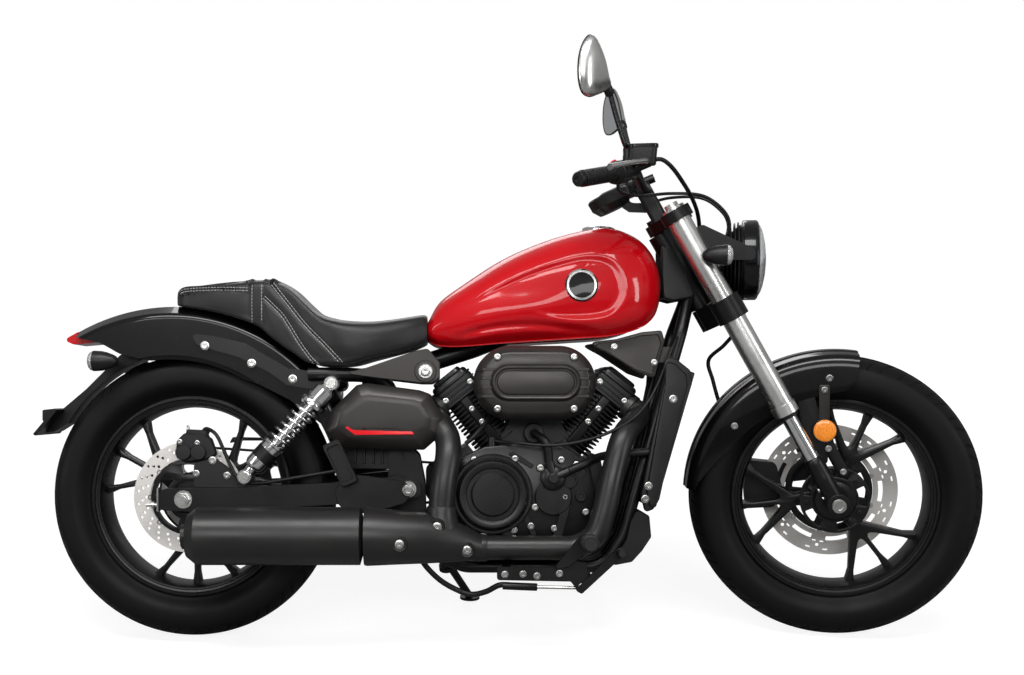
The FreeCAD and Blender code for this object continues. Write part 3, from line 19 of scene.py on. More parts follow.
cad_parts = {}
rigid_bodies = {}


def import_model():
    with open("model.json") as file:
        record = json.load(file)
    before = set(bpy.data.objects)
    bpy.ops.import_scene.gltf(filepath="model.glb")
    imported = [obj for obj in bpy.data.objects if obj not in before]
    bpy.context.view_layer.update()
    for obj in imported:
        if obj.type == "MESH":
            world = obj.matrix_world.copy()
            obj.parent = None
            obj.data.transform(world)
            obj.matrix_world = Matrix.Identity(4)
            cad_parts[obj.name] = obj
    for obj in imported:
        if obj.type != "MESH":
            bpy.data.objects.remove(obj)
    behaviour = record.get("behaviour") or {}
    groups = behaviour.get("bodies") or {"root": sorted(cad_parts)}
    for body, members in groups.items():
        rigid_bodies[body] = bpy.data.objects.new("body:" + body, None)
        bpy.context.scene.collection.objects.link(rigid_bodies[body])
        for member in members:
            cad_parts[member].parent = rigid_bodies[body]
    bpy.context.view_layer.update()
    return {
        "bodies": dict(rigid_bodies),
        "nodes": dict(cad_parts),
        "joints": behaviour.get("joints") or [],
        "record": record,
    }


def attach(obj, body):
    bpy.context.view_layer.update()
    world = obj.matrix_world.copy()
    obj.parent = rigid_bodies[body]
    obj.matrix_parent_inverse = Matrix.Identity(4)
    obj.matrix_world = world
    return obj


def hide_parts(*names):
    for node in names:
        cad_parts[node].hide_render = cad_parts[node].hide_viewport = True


LOG = logging.getLogger("cruiser")

MILLIMETRE = 0.001
RAKE = math.radians(29.2)
WHEELBASE = 1420.0
WHEEL_RADIUS = 313.0
FORK_OFFSET = 50.0
CRANK_X, CRANK_Z = 753.0, 331.0
CYLINDER_TILT = math.radians(38.5)
RIGHT, LEFT = -1.0, 1.0
TO_RIGHT = (0, RIGHT, 0)
WELD_MM = 0.01
PATCHES_PER_METRE = 14.0
CLOUDS_PER_METRE = 6.0

Point = Sequence[float]
Outline = Sequence[tuple[float, float]]
Rows = Sequence[tuple[float, ...]]


class Body(Enum):
    """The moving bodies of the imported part."""

    CHASSIS = "chassis"
    STEERING = "steering"
    FRONT_WHEEL = "front_wheel"
    REAR_WHEEL = "rear_wheel"
    SIDE_STAND = "side_stand"


class Grain(Enum):
    """How a surface was made, as far as it shows."""

    MOULDED = "fine texture of a mould"
    CAST = "sand-cast skin"
    HIDE = "leather cells"
    BRUSHED = "short streaks"
    FLAKE = "metal flakes under lacquer"


# ---------------------------------------------------------------- places


def steer_place(along: float, ahead: float, y: float = 0.0) -> Vector:
    """A point by its place along the steering axis, ahead of that axis and to the left.

    Args:
        along: Distance up the steering axis from the foot below the front axle, in mm.
        ahead: Distance ahead of the axis, in mm.
        y: Distance to the rider's left, in mm.

    Returns:
        The point on the upright motorcycle.
    """
    axis = Vector((-math.sin(RAKE), 0, math.cos(RAKE)))
    forward = Vector((math.cos(RAKE), 0, math.sin(RAKE)))
    foot = Vector((WHEELBASE, 0, WHEEL_RADIUS)) - forward * FORK_OFFSET
    return foot + axis * along + forward * ahead + Vector((0, y, 0))


def bike_frame(axis_up: Vector, across: Vector, hub: Vector, hub_x: float) -> Matrix:
    """The placement that takes the upright motorcycle's millimetres to the stored part's metres.

    Args:
        axis_up: The steering axis as packed.
        across: A wheel's axle direction as packed, to the rider's left.
        hub: That wheel's centre as packed.
        hub_x: The same centre's X on the upright motorcycle.

    Returns:
        A 4x4 matrix.
    """
    up, left = axis_up.normalized(), across.normalized()
    ahead = left.cross(up).normalized()
    x_axis = ahead * math.cos(RAKE) - up * math.sin(RAKE)
    z_axis = ahead * math.sin(RAKE) + up * math.cos(RAKE)
    turn = Matrix((x_axis, left, z_axis)).transposed().to_4x4()
    start = hub - (x_axis * hub_x + z_axis * WHEEL_RADIUS) * MILLIMETRE
    return Matrix.Translation(start) @ turn @ Matrix.Scale(MILLIMETRE, 4)


def joint_frames(joints: Iterable[dict]) -> dict[Body, Matrix]:
    """Each body's placement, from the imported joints.

    Args:
        joints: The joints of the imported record.

    Returns:
        One matrix for each body.
    """
    found = {joint["name"]: joint for joint in joints}
    steering = Vector(found["steering"]["axis"])
    frames = {}
    for name, hub_x in (("rear_wheel", 0.0), ("front_wheel", WHEELBASE)):
        wheel = found[name]
        frames[name] = bike_frame(steering, Vector(wheel["axis"]), Vector(wheel["pos_m"]), hub_x)
    chassis, steered = frames["rear_wheel"], frames["front_wheel"]
    return {
        Body.CHASSIS: chassis,
        Body.REAR_WHEEL: chassis,
        Body.SIDE_STAND: chassis,
        Body.STEERING: steered,
        Body.FRONT_WHEEL: steered,
    }


# ---------------------------------------------------------------- shader nodes


def linear(code: str) -> tuple[float, float, float, float]:
    """A colour's linear values.

    Args:
        code: The sRGB colour as six hex digits.

    Returns:
        Red, green, blue and alpha.
    """
    parts = [int(code[i:i + 2], 16) / 255 for i in (0, 2, 4)]
    parts = [c / 12.92 if c <= 0.04045 else ((c + 0.055) / 1.055) ** 2.4 for c in parts]
    return parts[0], parts[1], parts[2], 1.0


def add_node(tree: bpy.types.NodeTree, kind: str, settings: dict | None = None, inputs: dict | None = None,
             ) -> bpy.types.Node:
    """Add a shader node with its settings, values and links.

    Args:
        tree: The node tree.
        kind: The node's type name without its ShaderNode prefix.
        settings: Properties by name.
        inputs: Input values by socket name or number; a socket as value makes a link.

    Returns:
        The node.
    """
    node = tree.nodes.new("ShaderNode" + kind)
    for name, value in (settings or {}).items():
        setattr(node, name, value)
    for name, value in (inputs or {}).items():
        if isinstance(value, bpy.types.NodeSocket):
            tree.links.new(value, node.inputs[name])
        else:
            node.inputs[name].default_value = value
    return node


@dataclass(frozen=True)
class Finish:
    """A real material and how its surface was made."""

    name: str
    slot: str
    colour: str
    worn: str
    roughness: float
    metallic: float = 0.0
    coat: float = 0.0
    coat_roughness: float = 0.03
    ior: float = 1.5
    grain: Grain = Grain.MOULDED
    grain_mm: float = 1.5
    depth_mm: float = 0.04
    spread: float = 0.06
    transmission: float = 0.0
    sheen: float = 0.0

    def material(self) -> bpy.types.Material:
        """The finish as a Blender material, made once.

        Returns:
            The material.
        """
        known = bpy.data.materials.get(self.name)
        if known:
            return known
        made = bpy.data.materials.new(self.name)
        made.use_nodes = True
        tree = made.node_tree
        tree.nodes.clear()
        place = add_node(tree, "TexCoord").outputs["Object"]
        height, tint = self.pattern(tree, place)
        colour = add_node(tree, "Mix", {"data_type": "RGBA"}, {
            0: tint, 6: linear(self.colour), 7: linear(self.worn)}).outputs[2]
        patches = add_node(tree, "TexNoise", {}, {"Vector": place, "Scale": PATCHES_PER_METRE, "Detail": 3.0})
        rough = add_node(tree, "MapRange", {}, {
            "Value": patches.outputs["Fac"], "From Min": 0.3, "From Max": 0.7,
            "To Min": max(self.roughness - self.spread, 0.02), "To Max": self.roughness + self.spread})
        bump = add_node(tree, "Bump", {}, {
            "Height": height, "Distance": self.depth_mm * MILLIMETRE, "Strength": 1.0})
        shader = add_node(tree, "BsdfPrincipled", {}, {
            "Base Color": colour, "Roughness": rough.outputs["Result"], "Metallic": self.metallic,
            "Coat Weight": self.coat, "Coat Roughness": self.coat_roughness, "IOR": self.ior,
            "Transmission Weight": self.transmission, "Sheen Weight": self.sheen})
        if self.depth_mm:
            tree.links.new(bump.outputs["Normal"], shader.inputs["Normal"])
        add_node(tree, "OutputMaterial", {}, {"Surface": shader.outputs["BSDF"]})
        return made

    def pattern(self, tree: bpy.types.NodeTree, place: bpy.types.NodeSocket,
                ) -> tuple[bpy.types.NodeSocket, bpy.types.NodeSocket]:
        """The surface's relief and its patches of the second colour.

        Args:
            tree: The material's node tree.
            place: The texture coordinates, in metres.

        Returns:
            The relief's height and the share of the second colour.
        """
        scale = 1 / (self.grain_mm * MILLIMETRE)
        if self.grain is Grain.HIDE:
            cells = add_node(tree, "TexVoronoi", {"feature": "DISTANCE_TO_EDGE"}, {
                "Vector": place, "Scale": scale})
            relief = add_node(tree, "MapRange", {}, {
                "Value": cells.outputs["Distance"], "From Max": 0.35, "To Min": 0.0, "To Max": 1.0})
            height = relief.outputs["Result"]
        elif self.grain is Grain.BRUSHED:
            streaks = add_node(tree, "Mapping", {}, {"Vector": place, "Scale": (1.0, 30.0, 30.0)})
            height = add_node(tree, "TexNoise", {}, {
                "Vector": streaks.outputs["Vector"], "Scale": scale / 30, "Detail": 2.0}).outputs["Fac"]
        elif self.grain is Grain.FLAKE:
            height = add_node(tree, "TexVoronoi", {}, {"Vector": place, "Scale": scale}).outputs["Distance"]
        else:
            detail = 6.0 if self.grain is Grain.CAST else 2.0
            height = add_node(tree, "TexNoise", {}, {
                "Vector": place, "Scale": scale, "Detail": detail}).outputs["Fac"]
        broad = add_node(tree, "TexNoise", {}, {"Vector": place, "Scale": CLOUDS_PER_METRE, "Detail": 4.0})
        mixed = add_node(tree, "Math", {"operation": "MULTIPLY"}, {0: broad.outputs["Fac"], 1: height})
        tint = add_node(tree, "MapRange", {}, {"Value": mixed.outputs[0], "From Min": 0.1, "From Max": 0.5})
        return height, tint.outputs["Result"]


# Powder-coated steel tube: an even satin black with a faint orange-peel skin.
FRAME_BLACK = Finish(
    "powder_coated_steel", "black_frame_paint", "070708", "0c0c0d", 0.36, ior=1.36, grain_mm=2.5)
# Sand-cast aluminium under matte engine enamel: the skin breaks up the highlight.
ENGINE_BLACK = Finish(
    "enamelled_cast_aluminium", "black_engine_paint", "0a0a0b", "101011", 0.42, ior=1.4, grain=Grain.CAST,
    grain_mm=1.6, depth_mm=0.08)
# Die-cast covers in satin enamel: smoother and a little lighter than the castings.
COVER_BLACK = Finish(
    "satin_enamelled_cover", "black_engine_paint", "101011", "161617", 0.3, ior=1.4, grain_mm=1.2,
    depth_mm=0.02)
# High-temperature paint on the exhaust: charcoal, with a soft broad highlight.
EXHAUST_BLACK = Finish(
    "high_temperature_paint", "black_exhaust_paint", "1c1b1b", "242322", 0.38, metallic=0.3, grain_mm=1.2,
    depth_mm=0.03)
# Candy red lacquer over aluminium flake: deep colour and a mirror-like coat.
CANDY_RED = Finish(
    "candy_red_lacquer", "red_paint", "b8020f", "a0010c", 0.42, coat=0.6, ior=1.2, coat_roughness=0.06,
    grain=Grain.FLAKE, grain_mm=0.6, depth_mm=0.0)
# Gloss black lacquer sprayed on pressed steel: a deep black with a narrow, sharp highlight.
GLOSS_BLACK = Finish(
    "gloss_black_lacquer", "black_gloss_paint", "050506", "080808", 0.3, coat=0.5, ior=1.2,
    coat_roughness=0.05, depth_mm=0.0)
# Satin graphite paint with fine aluminium flake on the side panels and the air box.
GRAPHITE = Finish(
    "satin_graphite_paint", "black_gloss_paint", "2c2a29", "34312f", 0.34, metallic=0.5, grain=Grain.FLAKE,
    grain_mm=0.5, depth_mm=0.01)
# Black satin lacquer on cast aluminium rims: black faces, whose edges show as soft grey lines.
RIM_BLACK = Finish(
    "satin_black_rim_lacquer", "black_gloss_paint", "080809", "0d0d0e", 0.3, ior=1.38, grain_mm=1.2,
    depth_mm=0.02)
# Clear-anodised aluminium of the fork tubes, levers and mirror shells, turned and brushed: a pale metal whose
# highlight is drawn out across the streaks. The real streaks are finer; they are drawn at 0.8 mm to show.
ANODISED = Finish(
    "anodised_aluminium", "fork_aluminium", "dadad8", "cfcfcd", 0.3, metallic=1.0, grain=Grain.BRUSHED,
    grain_mm=0.8, depth_mm=0.005)
# Hard chrome plated and polished on the fork's inner tubes, the tank's cap, the shock bodies and springs: it
# mirrors the white studio and the dark parts beside it in crisp bands.
CHROME = Finish("hard_chrome", "chrome", "e4e4e4", "dadadb", 0.14, metallic=1.0, depth_mm=0.0, spread=0.03)
# Zinc-plated steel bolts: bright but slightly cloudy.
ZINC = Finish(
    "zinc_plated_steel", "steel", "c8c8c6", "b4b4b0", 0.25, metallic=1.0, grain_mm=2.0, depth_mm=0.01)
# Ground stainless steel of the brake discs and the pulley: an even pale grey, because the grinding marks
# scatter the light. The metallic value is low so that a face seen square on doesn't mirror the dark bike.
DISC_STEEL = Finish(
    "ground_stainless_steel", "steel", "cfccc8", "c0bdb9", 0.5, metallic=0.3, grain=Grain.BRUSHED,
    grain_mm=0.8, depth_mm=0.01)
# Vulcanised natural rubber with carbon black: matte, a little grey where it is dusty.
TYRE_RUBBER = Finish(
    "vulcanised_rubber", "tyre", "060606", "0b0b0b", 0.55, ior=1.25, grain_mm=1.5, depth_mm=0.05)
# Soft moulded rubber of grips, hoses and peg pads: black with a dull, wide sheen.
SOFT_RUBBER = Finish(
    "moulded_rubber", "rubber", "0a0a0a", "101010", 0.48, ior=1.35, grain_mm=1.2, depth_mm=0.04)
# Grained vinyl leather of the saddle: its cells, about 1.5 mm across, break the highlight into fine points.
# They are drawn at 2.4 mm so that they show.
SADDLE_HIDE = Finish(
    "grained_vinyl", "seat_cover", "0c0c0d", "111112", 0.4, ior=1.4, grain=Grain.HIDE, grain_mm=2.4,
    depth_mm=0.12, sheen=0.1)
# Twisted polyester thread: grey stitches that stand out from the black cover.
THREAD = Finish("polyester_thread", "seat_cover", "8f8f8d", "a3a3a0", 0.6, grain_mm=0.6, depth_mm=0.05)
# Glass-filled nylon: matte moulded black.
NYLON = Finish(
    "glass_filled_nylon", "black_plastic", "0b0b0c", "111112", 0.42, ior=1.38, grain_mm=1.0, depth_mm=0.05)
# Moulded red acrylic of the tail lamp: an even red under a glassy surface.
RED_ACRYLIC = Finish("red_acrylic", "red_lens", "c40c14", "a80a10", 0.12, coat=0.6, depth_mm=0.0, spread=0.02)
# Amber acrylic of the side reflector, with a prism pattern moulded behind it.
AMBER_ACRYLIC = Finish(
    "amber_acrylic", "red_lens", "f08a10", "c86a08", 0.2, coat=0.8, grain=Grain.HIDE, grain_mm=3.0,
    depth_mm=0.3)
# Moulded clear polycarbonate of lamp lenses: the reflector behind shows through, under one sharp glint.
CLEAR_LENS = Finish(
    "clear_polycarbonate", "black_plastic", "e6e8ea", "dfe2e4", 0.06, transmission=0.75, ior=1.58,
    depth_mm=0.0, spread=0.01)
# Dark chrome plated on the mirror stems: metal-bright but smoky.
DARK_CHROME = Finish(
    "dark_chrome", "chrome", "6a6a6c", "5c5c5e", 0.16, metallic=1.0, depth_mm=0.0, spread=0.03)
# Silvered mirror glass and lamp reflectors: a clear mirror image, almost without blur.
SILVERED = Finish(
    "silvered_glass", "chrome", "e4e6e8", "e4e6e8", 0.03, metallic=1.0, depth_mm=0.0, spread=0.01)
# Red moulded plastic of the stop switch and of the side covers' stripe: a bright satin red.
RED_PLASTIC = Finish("red_moulded_plastic", "red_lens", "e0101c", "d00c18", 0.35, depth_mm=0.0)


# ---------------------------------------------------------------- mesh forms


class Form:
    """A mesh being built, in millimetres on the upright motorcycle."""

    def __init__(self) -> None:
        """Start with no faces."""
        self.bm = bmesh.new()

    def skin(self, rings: Sequence[Sequence[Point]], closed: bool = False, capped: bool = True) -> "Form":
        """Join rings of equally many points with faces.

        Args:
            rings: The rings in order.
            closed: Whether the last ring joins the first.
            capped: Whether the end rings are filled.

        Returns:
            This form.
        """
        rows = [[self.bm.verts.new(p) for p in ring] for ring in rings]
        count = len(rows[0])
        pairs = list(zip(rows, rows[1:])) + ([(rows[-1], rows[0])] if closed else [])
        for low, high in pairs:
            for i in range(count):
                j = (i + 1) % count
                self.bm.faces.new((low[i], low[j], high[j], high[i]))
        if capped and not closed:
            self.bm.faces.new(list(reversed(rows[0])))
            self.bm.faces.new(rows[-1])
        return self

    def turned(self, profile: Outline, centre: Point, axis: Point, steps: int = 96,
               closed: bool = False) -> "Form":
        """Turn a profile of (radius, height) about an axis.

        Args:
            profile: The profile's points; a radius of 0 is a point on the axis.
            centre: Where height 0 is.
            axis: The axis's direction.
            steps: How many faces go round.
            closed: Whether the profile's last point joins the first.

        Returns:
            This form.
        """
        centre, axis = Vector(centre), Vector(axis).normalized()
        side = axis.orthogonal().normalized()
        other = axis.cross(side)
        rings = []
        for r, h in profile:
            ring = []
            for k in range(steps):
                angle = math.tau * k / steps
                outwards = side * math.cos(angle) + other * math.sin(angle)
                ring.append(centre + axis * h + outwards * max(r, 1e-4))
            rings.append(ring)
        return self.skin(rings, closed=closed, capped=not closed)

    def tube(self, path: Sequence[Point], radius: float | Callable[[float], float],
             steps: int = 16) -> "Form":
        """Sweep a circle along a path.

        Args:
            path: The path's points, as close as it needs.
            radius: The radius, or a function of the share of the path that is passed.
            steps: How many faces go round.

        Returns:
            This form.
        """
        points = [Vector(p) for p in path]
        side = (points[1] - points[0]).orthogonal().normalized()
        rings = []
        for index, point in enumerate(points):
            before, after = points[max(index - 1, 0)], points[min(index + 1, len(points) - 1)]
            run = (after - before).normalized()
            side = (side - run * side.dot(run)).normalized()
            other = run.cross(side)
            size = radius(index / (len(points) - 1)) if callable(radius) else radius
            rings.append([point + (side * math.cos(a) + other * math.sin(a)) * size
                          for a in (math.tau * k / steps for k in range(steps))])
        return self.skin(rings)

    def bolt(self, centre: Point, axis: Point, radius: float, height: float = 0.0) -> "Form":
        """Add a socket-head bolt, seen from outside.

        Args:
            centre: The middle of its seat.
            axis: The way its head points.
            radius: The head's radius.
            height: The head's height, or 0 for its usual 0.7 of the radius.

        Returns:
            This form.
        """
        h = height or radius * 0.7
        washer, socket = radius * 1.25, radius * 0.46
        profile = [(0, -1), (washer, -1), (washer, h * 0.18), (radius, h * 0.22), (radius, h * 0.8),
                   (radius * 0.85, h), (radius * 0.5, h), (socket, h * 0.45), (0, h * 0.4)]
        return self.turned(profile, centre, axis, 20)

    def mirror_copy(self) -> "Form":
        """Add the same faces for the other side.

        Returns:
            This form.
        """
        whole = self.bm.faces[:] + self.bm.edges[:] + self.bm.verts[:]
        copied = bmesh.ops.duplicate(self.bm, geom=whole)["geom"]
        verts = [item for item in copied if isinstance(item, bmesh.types.BMVert)]
        bmesh.ops.scale(self.bm, vec=(1, -1, 1), verts=verts)
        faces = [item for item in copied if isinstance(item, bmesh.types.BMFace)]
        bmesh.ops.reverse_faces(self.bm, faces=faces)
        return self

    def merge(self, mesh: bpy.types.Mesh) -> "Form":
        """Add a finished mesh's faces."""
        self.bm.from_mesh(mesh)
        return self

    def add(self, other: "Form") -> "Form":
        """Add another form's faces."""
        return self.merge(other.mesh("part"))

    def mesh(self, name: str) -> bpy.types.Mesh:
        """The finished mesh, with its faces turned outwards.

        Args:
            name: The mesh's name.

        Returns:
            The mesh.
        """
        bmesh.ops.remove_doubles(self.bm, verts=self.bm.verts, dist=WELD_MM)
        bmesh.ops.recalc_face_normals(self.bm, faces=self.bm.faces)
        made = bpy.data.meshes.new(name)
        self.bm.to_mesh(made)
        self.bm.free()
        return made


def rounded(points: Outline, radius: float, steps: int = 6) -> list[tuple[float, float]]:
    """An outline with its corners rounded.

    Args:
        points: The outline's corners.
        radius: The corners' radius, made smaller where a run is short.
        steps: How many points each corner gets.

    Returns:
        The rounded outline's points.
    """
    corners = [Vector(p) for p in points]
    count = len(corners)
    line = []
    for index, corner in enumerate(corners):
        before = corners[index - 1] - corner
        after = corners[(index + 1) % count] - corner
        half = before.angle(after) / 2
        reach = min(radius / math.tan(half), 0.48 * before.length, 0.48 * after.length)
        start = corner + before.normalized() * reach
        end = corner + after.normalized() * reach
        for step in range(steps):
            t = step / (steps - 1)
            line.append(tuple(start * (1 - t) ** 2 + corner * (2 * t * (1 - t)) + end * t ** 2))
    return line


def smooth_path(points: Sequence[Point], steps: int = 10) -> list[Vector]:
    """A smooth line through some points.

    Args:
        points: The points, in order.
        steps: How many points lie on each run.

    Returns:
        The line's points.
    """
    stops = [Vector(p) for p in points]
    stops = [stops[0] * 2 - stops[1]] + stops + [stops[-1] * 2 - stops[-2]]
    line = []
    for a, b, c, d in zip(stops, stops[1:], stops[2:], stops[3:]):
        for step in range(steps):
            t = step / steps
            line.append(0.5 * ((2 * b) + (c - a) * t + (2 * a - 5 * b + 4 * c - d) * t ** 2
                               + (3 * b - a - 3 * c + d) * t ** 3))
    line.append(stops[-2])
    return line


def sheet_part(outlines: Sequence[Outline], low: float, high: float, edge: float = 0.8) -> bpy.types.Mesh:
    """A flat part in the X-Z plane with softened edges; outlines inside the first are holes.

    Args:
        outlines: The outer outline and the holes.
        low: The part's lower Y.
        high: The part's higher Y.
        edge: The radius of its edges.

    Returns:
        The mesh.
    """
    curve = bpy.data.curves.new("flat", "CURVE")
    curve.dimensions = "2D"
    curve.fill_mode = "BOTH"
    curve.extrude = (high - low) / 2 - edge
    curve.bevel_depth = edge
    curve.bevel_resolution = 1
    curve.offset = -edge
    for outline in outlines:
        spline = curve.splines.new("POLY")
        spline.points.add(len(outline) - 1)
        for point, (x, z) in zip(spline.points, outline):
            point.co = (x, z, 0, 1)
        spline.use_cyclic_u = True
    holder = bpy.data.objects.new("flat", curve)
    mesh = bpy.data.meshes.new_from_object(holder)
    bpy.data.objects.remove(holder)
    bpy.data.curves.remove(curve)
    mesh.transform(Matrix.Translation((0, (low + high) / 2, 0)) @ Matrix.Rotation(math.pi / 2, 4, "X"))
    return mesh


def circle(x: float, z: float, radius: float, steps: int = 32) -> list[tuple[float, float]]:
    """The points of a circle in the X-Z plane."""
    return [(x + radius * math.cos(math.tau * k / steps), z + radius * math.sin(math.tau * k / steps))
            for k in range(steps)]


class Workshop:
    """Places finished meshes on their bodies and gives CAD nodes their finishes."""

    def __init__(self, frame: dict) -> None:
        """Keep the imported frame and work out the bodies' placements."""
        self.nodes = frame["nodes"]
        self.frames = joint_frames(frame["record"]["behaviour"]["joints"])

    def fit(self, name: str, shape: Form | bpy.types.Mesh, body: Body, finish: Finish,
            replaces: Sequence[str] = (), crease: float = 35.0) -> bpy.types.Object:
        """Add a piece to a body.

        Args:
            name: The piece's name.
            shape: Its form or mesh, in millimetres on the upright motorcycle.
            body: The body it rides on.
            finish: Its finish.
            replaces: The CAD nodes it stands for.
            crease: The angle in degrees from which an edge shows sharp.

        Returns:
            The new object.
        """
        mesh = shape.mesh(name) if isinstance(shape, Form) else shape
        mesh.transform(self.frames[body])
        mesh.shade_smooth()
        mesh.set_sharp_from_angle(angle=math.radians(crease))
        mesh.materials.clear()
        mesh.materials.append(finish.material())
        piece = bpy.data.objects.new(name, mesh)
        bpy.context.scene.collection.objects.link(piece)
        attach(piece, body.value)
        if replaces:
            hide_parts(*replaces)
        LOG.info("%s: %d faces on %s", name, len(mesh.polygons), body.value)
        return piece

    def dress(self, finish: Finish, *names: str) -> None:
        """Give CAD nodes a finish.

        Args:
            finish: The finish.
            *names: The nodes' names.
        """
        for name in names:
            node = self.nodes[name]
            node.data.materials.clear()
            node.data.materials.append(finish.material())


class SubAssembly:
    """A group of pieces that one class makes and gives to its workshop."""

    shop: Workshop

    def build(self) -> None:
        """Make the group's pieces."""
        raise NotImplementedError


# ---------------------------------------------------------------- places on a surface


def smoothstep(low: float, high: float, value: float) -> float:
    """How far a value has come from one limit to the other, eased at both ends."""
    t = min(max((value - low) / (high - low), 0.0), 1.0)
    return t * t * (3 - 2 * t)


def away(line: Outline, x: float, z: float, closed: bool = False) -> float:
    """The distance from a point to a line of points in the side view.

    Args:
        line: The line's points.
        x: The point's X.
        z: The point's Z.
        closed: Whether the line closes.

    Returns:
        The distance in mm.
    """
    best = 1e9
    ends = list(zip(line, line[1:])) + ([(line[-1], line[0])] if closed else [])
    for (ax, az), (bx, bz) in ends:
        ux, uz = bx - ax, bz - az
        t = ((x - ax) * ux + (z - az) * uz) / max(ux * ux + uz * uz, 1e-9)
        t = min(max(t, 0.0), 1.0)
        best = min(best, math.hypot(x - ax - ux * t, z - az - uz * t))
    return best


def within(outline: Outline, x: float, z: float) -> bool:
    """Whether a point of the side view lies inside an outline.

    Args:
        outline: The outline's points.
        x: The point's X.
        z: The point's Z.

    Returns:
        True inside.
    """
    inside = False
    for (ax, az), (bx, bz) in zip(outline, outline[1:] + outline[:1]):
        if (az > z) != (bz > z) and x < (bx - ax) * (z - az) / (bz - az) + ax:
            inside = not inside
    return inside


def curved(points: Outline, steps: int = 6) -> list[tuple[float, float]]:
    """A smooth line through points of the side view."""
    return [(p.x, p.z) for p in smooth_path([(x, 0, z) for x, z in points], steps)]


class Hull:
    """A body lofted from rings at rising X, whose right side can be looked up."""

    def __init__(self, rings: Sequence[Sequence[Vector]]) -> None:
        """Keep the rings."""
        self.rings = [list(ring) for ring in rings]

    def side_y(self, x: float, z: float) -> float:
        """The Y of the right side at a place of the side view.

        Args:
            x: The place's X.
            z: The place's Z.

        Returns:
            The surface's Y, or 0 where the body doesn't reach.
        """
        spot = 1
        while spot < len(self.rings) - 1 and self.rings[spot][0].x < x:
            spot += 1
        low, high = self.rings[spot - 1], self.rings[spot]
        share = min(max((x - low[0].x) / max(high[0].x - low[0].x, 1e-6), 0.0), 1.0)
        return self.ring_y(low, z) * (1 - share) + self.ring_y(high, z) * share

    @staticmethod
    def ring_y(ring: Sequence[Vector], z: float) -> float:
        """The outermost Y on a ring's right side at a height.

        Args:
            ring: The ring's points.
            z: The height.

        Returns:
            The Y, or 0 beyond the ring.
        """
        best = 0.0
        for a, b in zip(ring, list(ring[1:]) + [ring[0]]):
            if (a.z - z) * (b.z - z) <= 0 and abs(a.z - b.z) > 1e-9:
                best = min(best, a.y + (b.y - a.y) * (z - a.z) / (b.z - a.z))
        return best

    def on_side(self, x: float, z: float, proud: float = 0.0) -> Vector:
        """A point on the right side, or a little outside of it.

        Args:
            x: The point's X.
            z: Its Z.
            proud: How far it stands out, in mm.

        Returns:
            The point.
        """
        y = self.side_y(x, z)
        slope_x = (self.side_y(x + 2, z) - self.side_y(x - 2, z)) / 4
        slope_z = (self.side_y(x, z + 2) - self.side_y(x, z - 2)) / 4
        normal = Vector((slope_x, -1, slope_z)).normalized()
        return Vector((x, y, z)) + normal * proud


def kidney(hub: float, radius: float, middle: float, span: float, width: float) -> list[tuple[float, float]]:
    """A curved slot's outline round a wheel's centre.

    Args:
        hub: The centre's X.
        radius: The slot's middle radius.
        middle: The angle of its middle, in degrees.
        span: Its length as an angle, in degrees.
        width: Its width.

    Returns:
        The outline in the side view.
    """
    steps = 8
    angles = [math.radians(middle - span / 2 + span * k / steps) for k in range(steps + 1)]
    line = [(radius + width / 2, a) for a in angles] + [(radius - width / 2, a) for a in reversed(angles)]
    return rounded([(hub + r * math.cos(a), WHEEL_RADIUS + r * math.sin(a)) for r, a in line], 2.0, 3)


def pressed(outline: Outline, corner: float, steps: Outline) -> Form:
    """A panel whose outline is drawn in step by step.

    Args:
        outline: The panel's corners in the side view.
        corner: The corners' radius.
        steps: Pairs of a Y and of the margin by which the outline is drawn in there.

    Returns:
        The panel.
    """
    xs, zs = [x for x, _ in outline], [z for _, z in outline]
    middle_x, middle_z = (min(xs) + max(xs)) / 2, (min(zs) + max(zs)) / 2
    wide, tall = max(xs) - min(xs), max(zs) - min(zs)
    rings = []
    for y, margin in steps:
        line = [(middle_x + (x - middle_x) * (1 - 2 * margin / wide),
                 middle_z + (z - middle_z) * (1 - 2 * margin / tall)) for x, z in outline]
        rings.append([(x, y, z) for x, z in rounded(line, corner)])
    return Form().skin(rings)


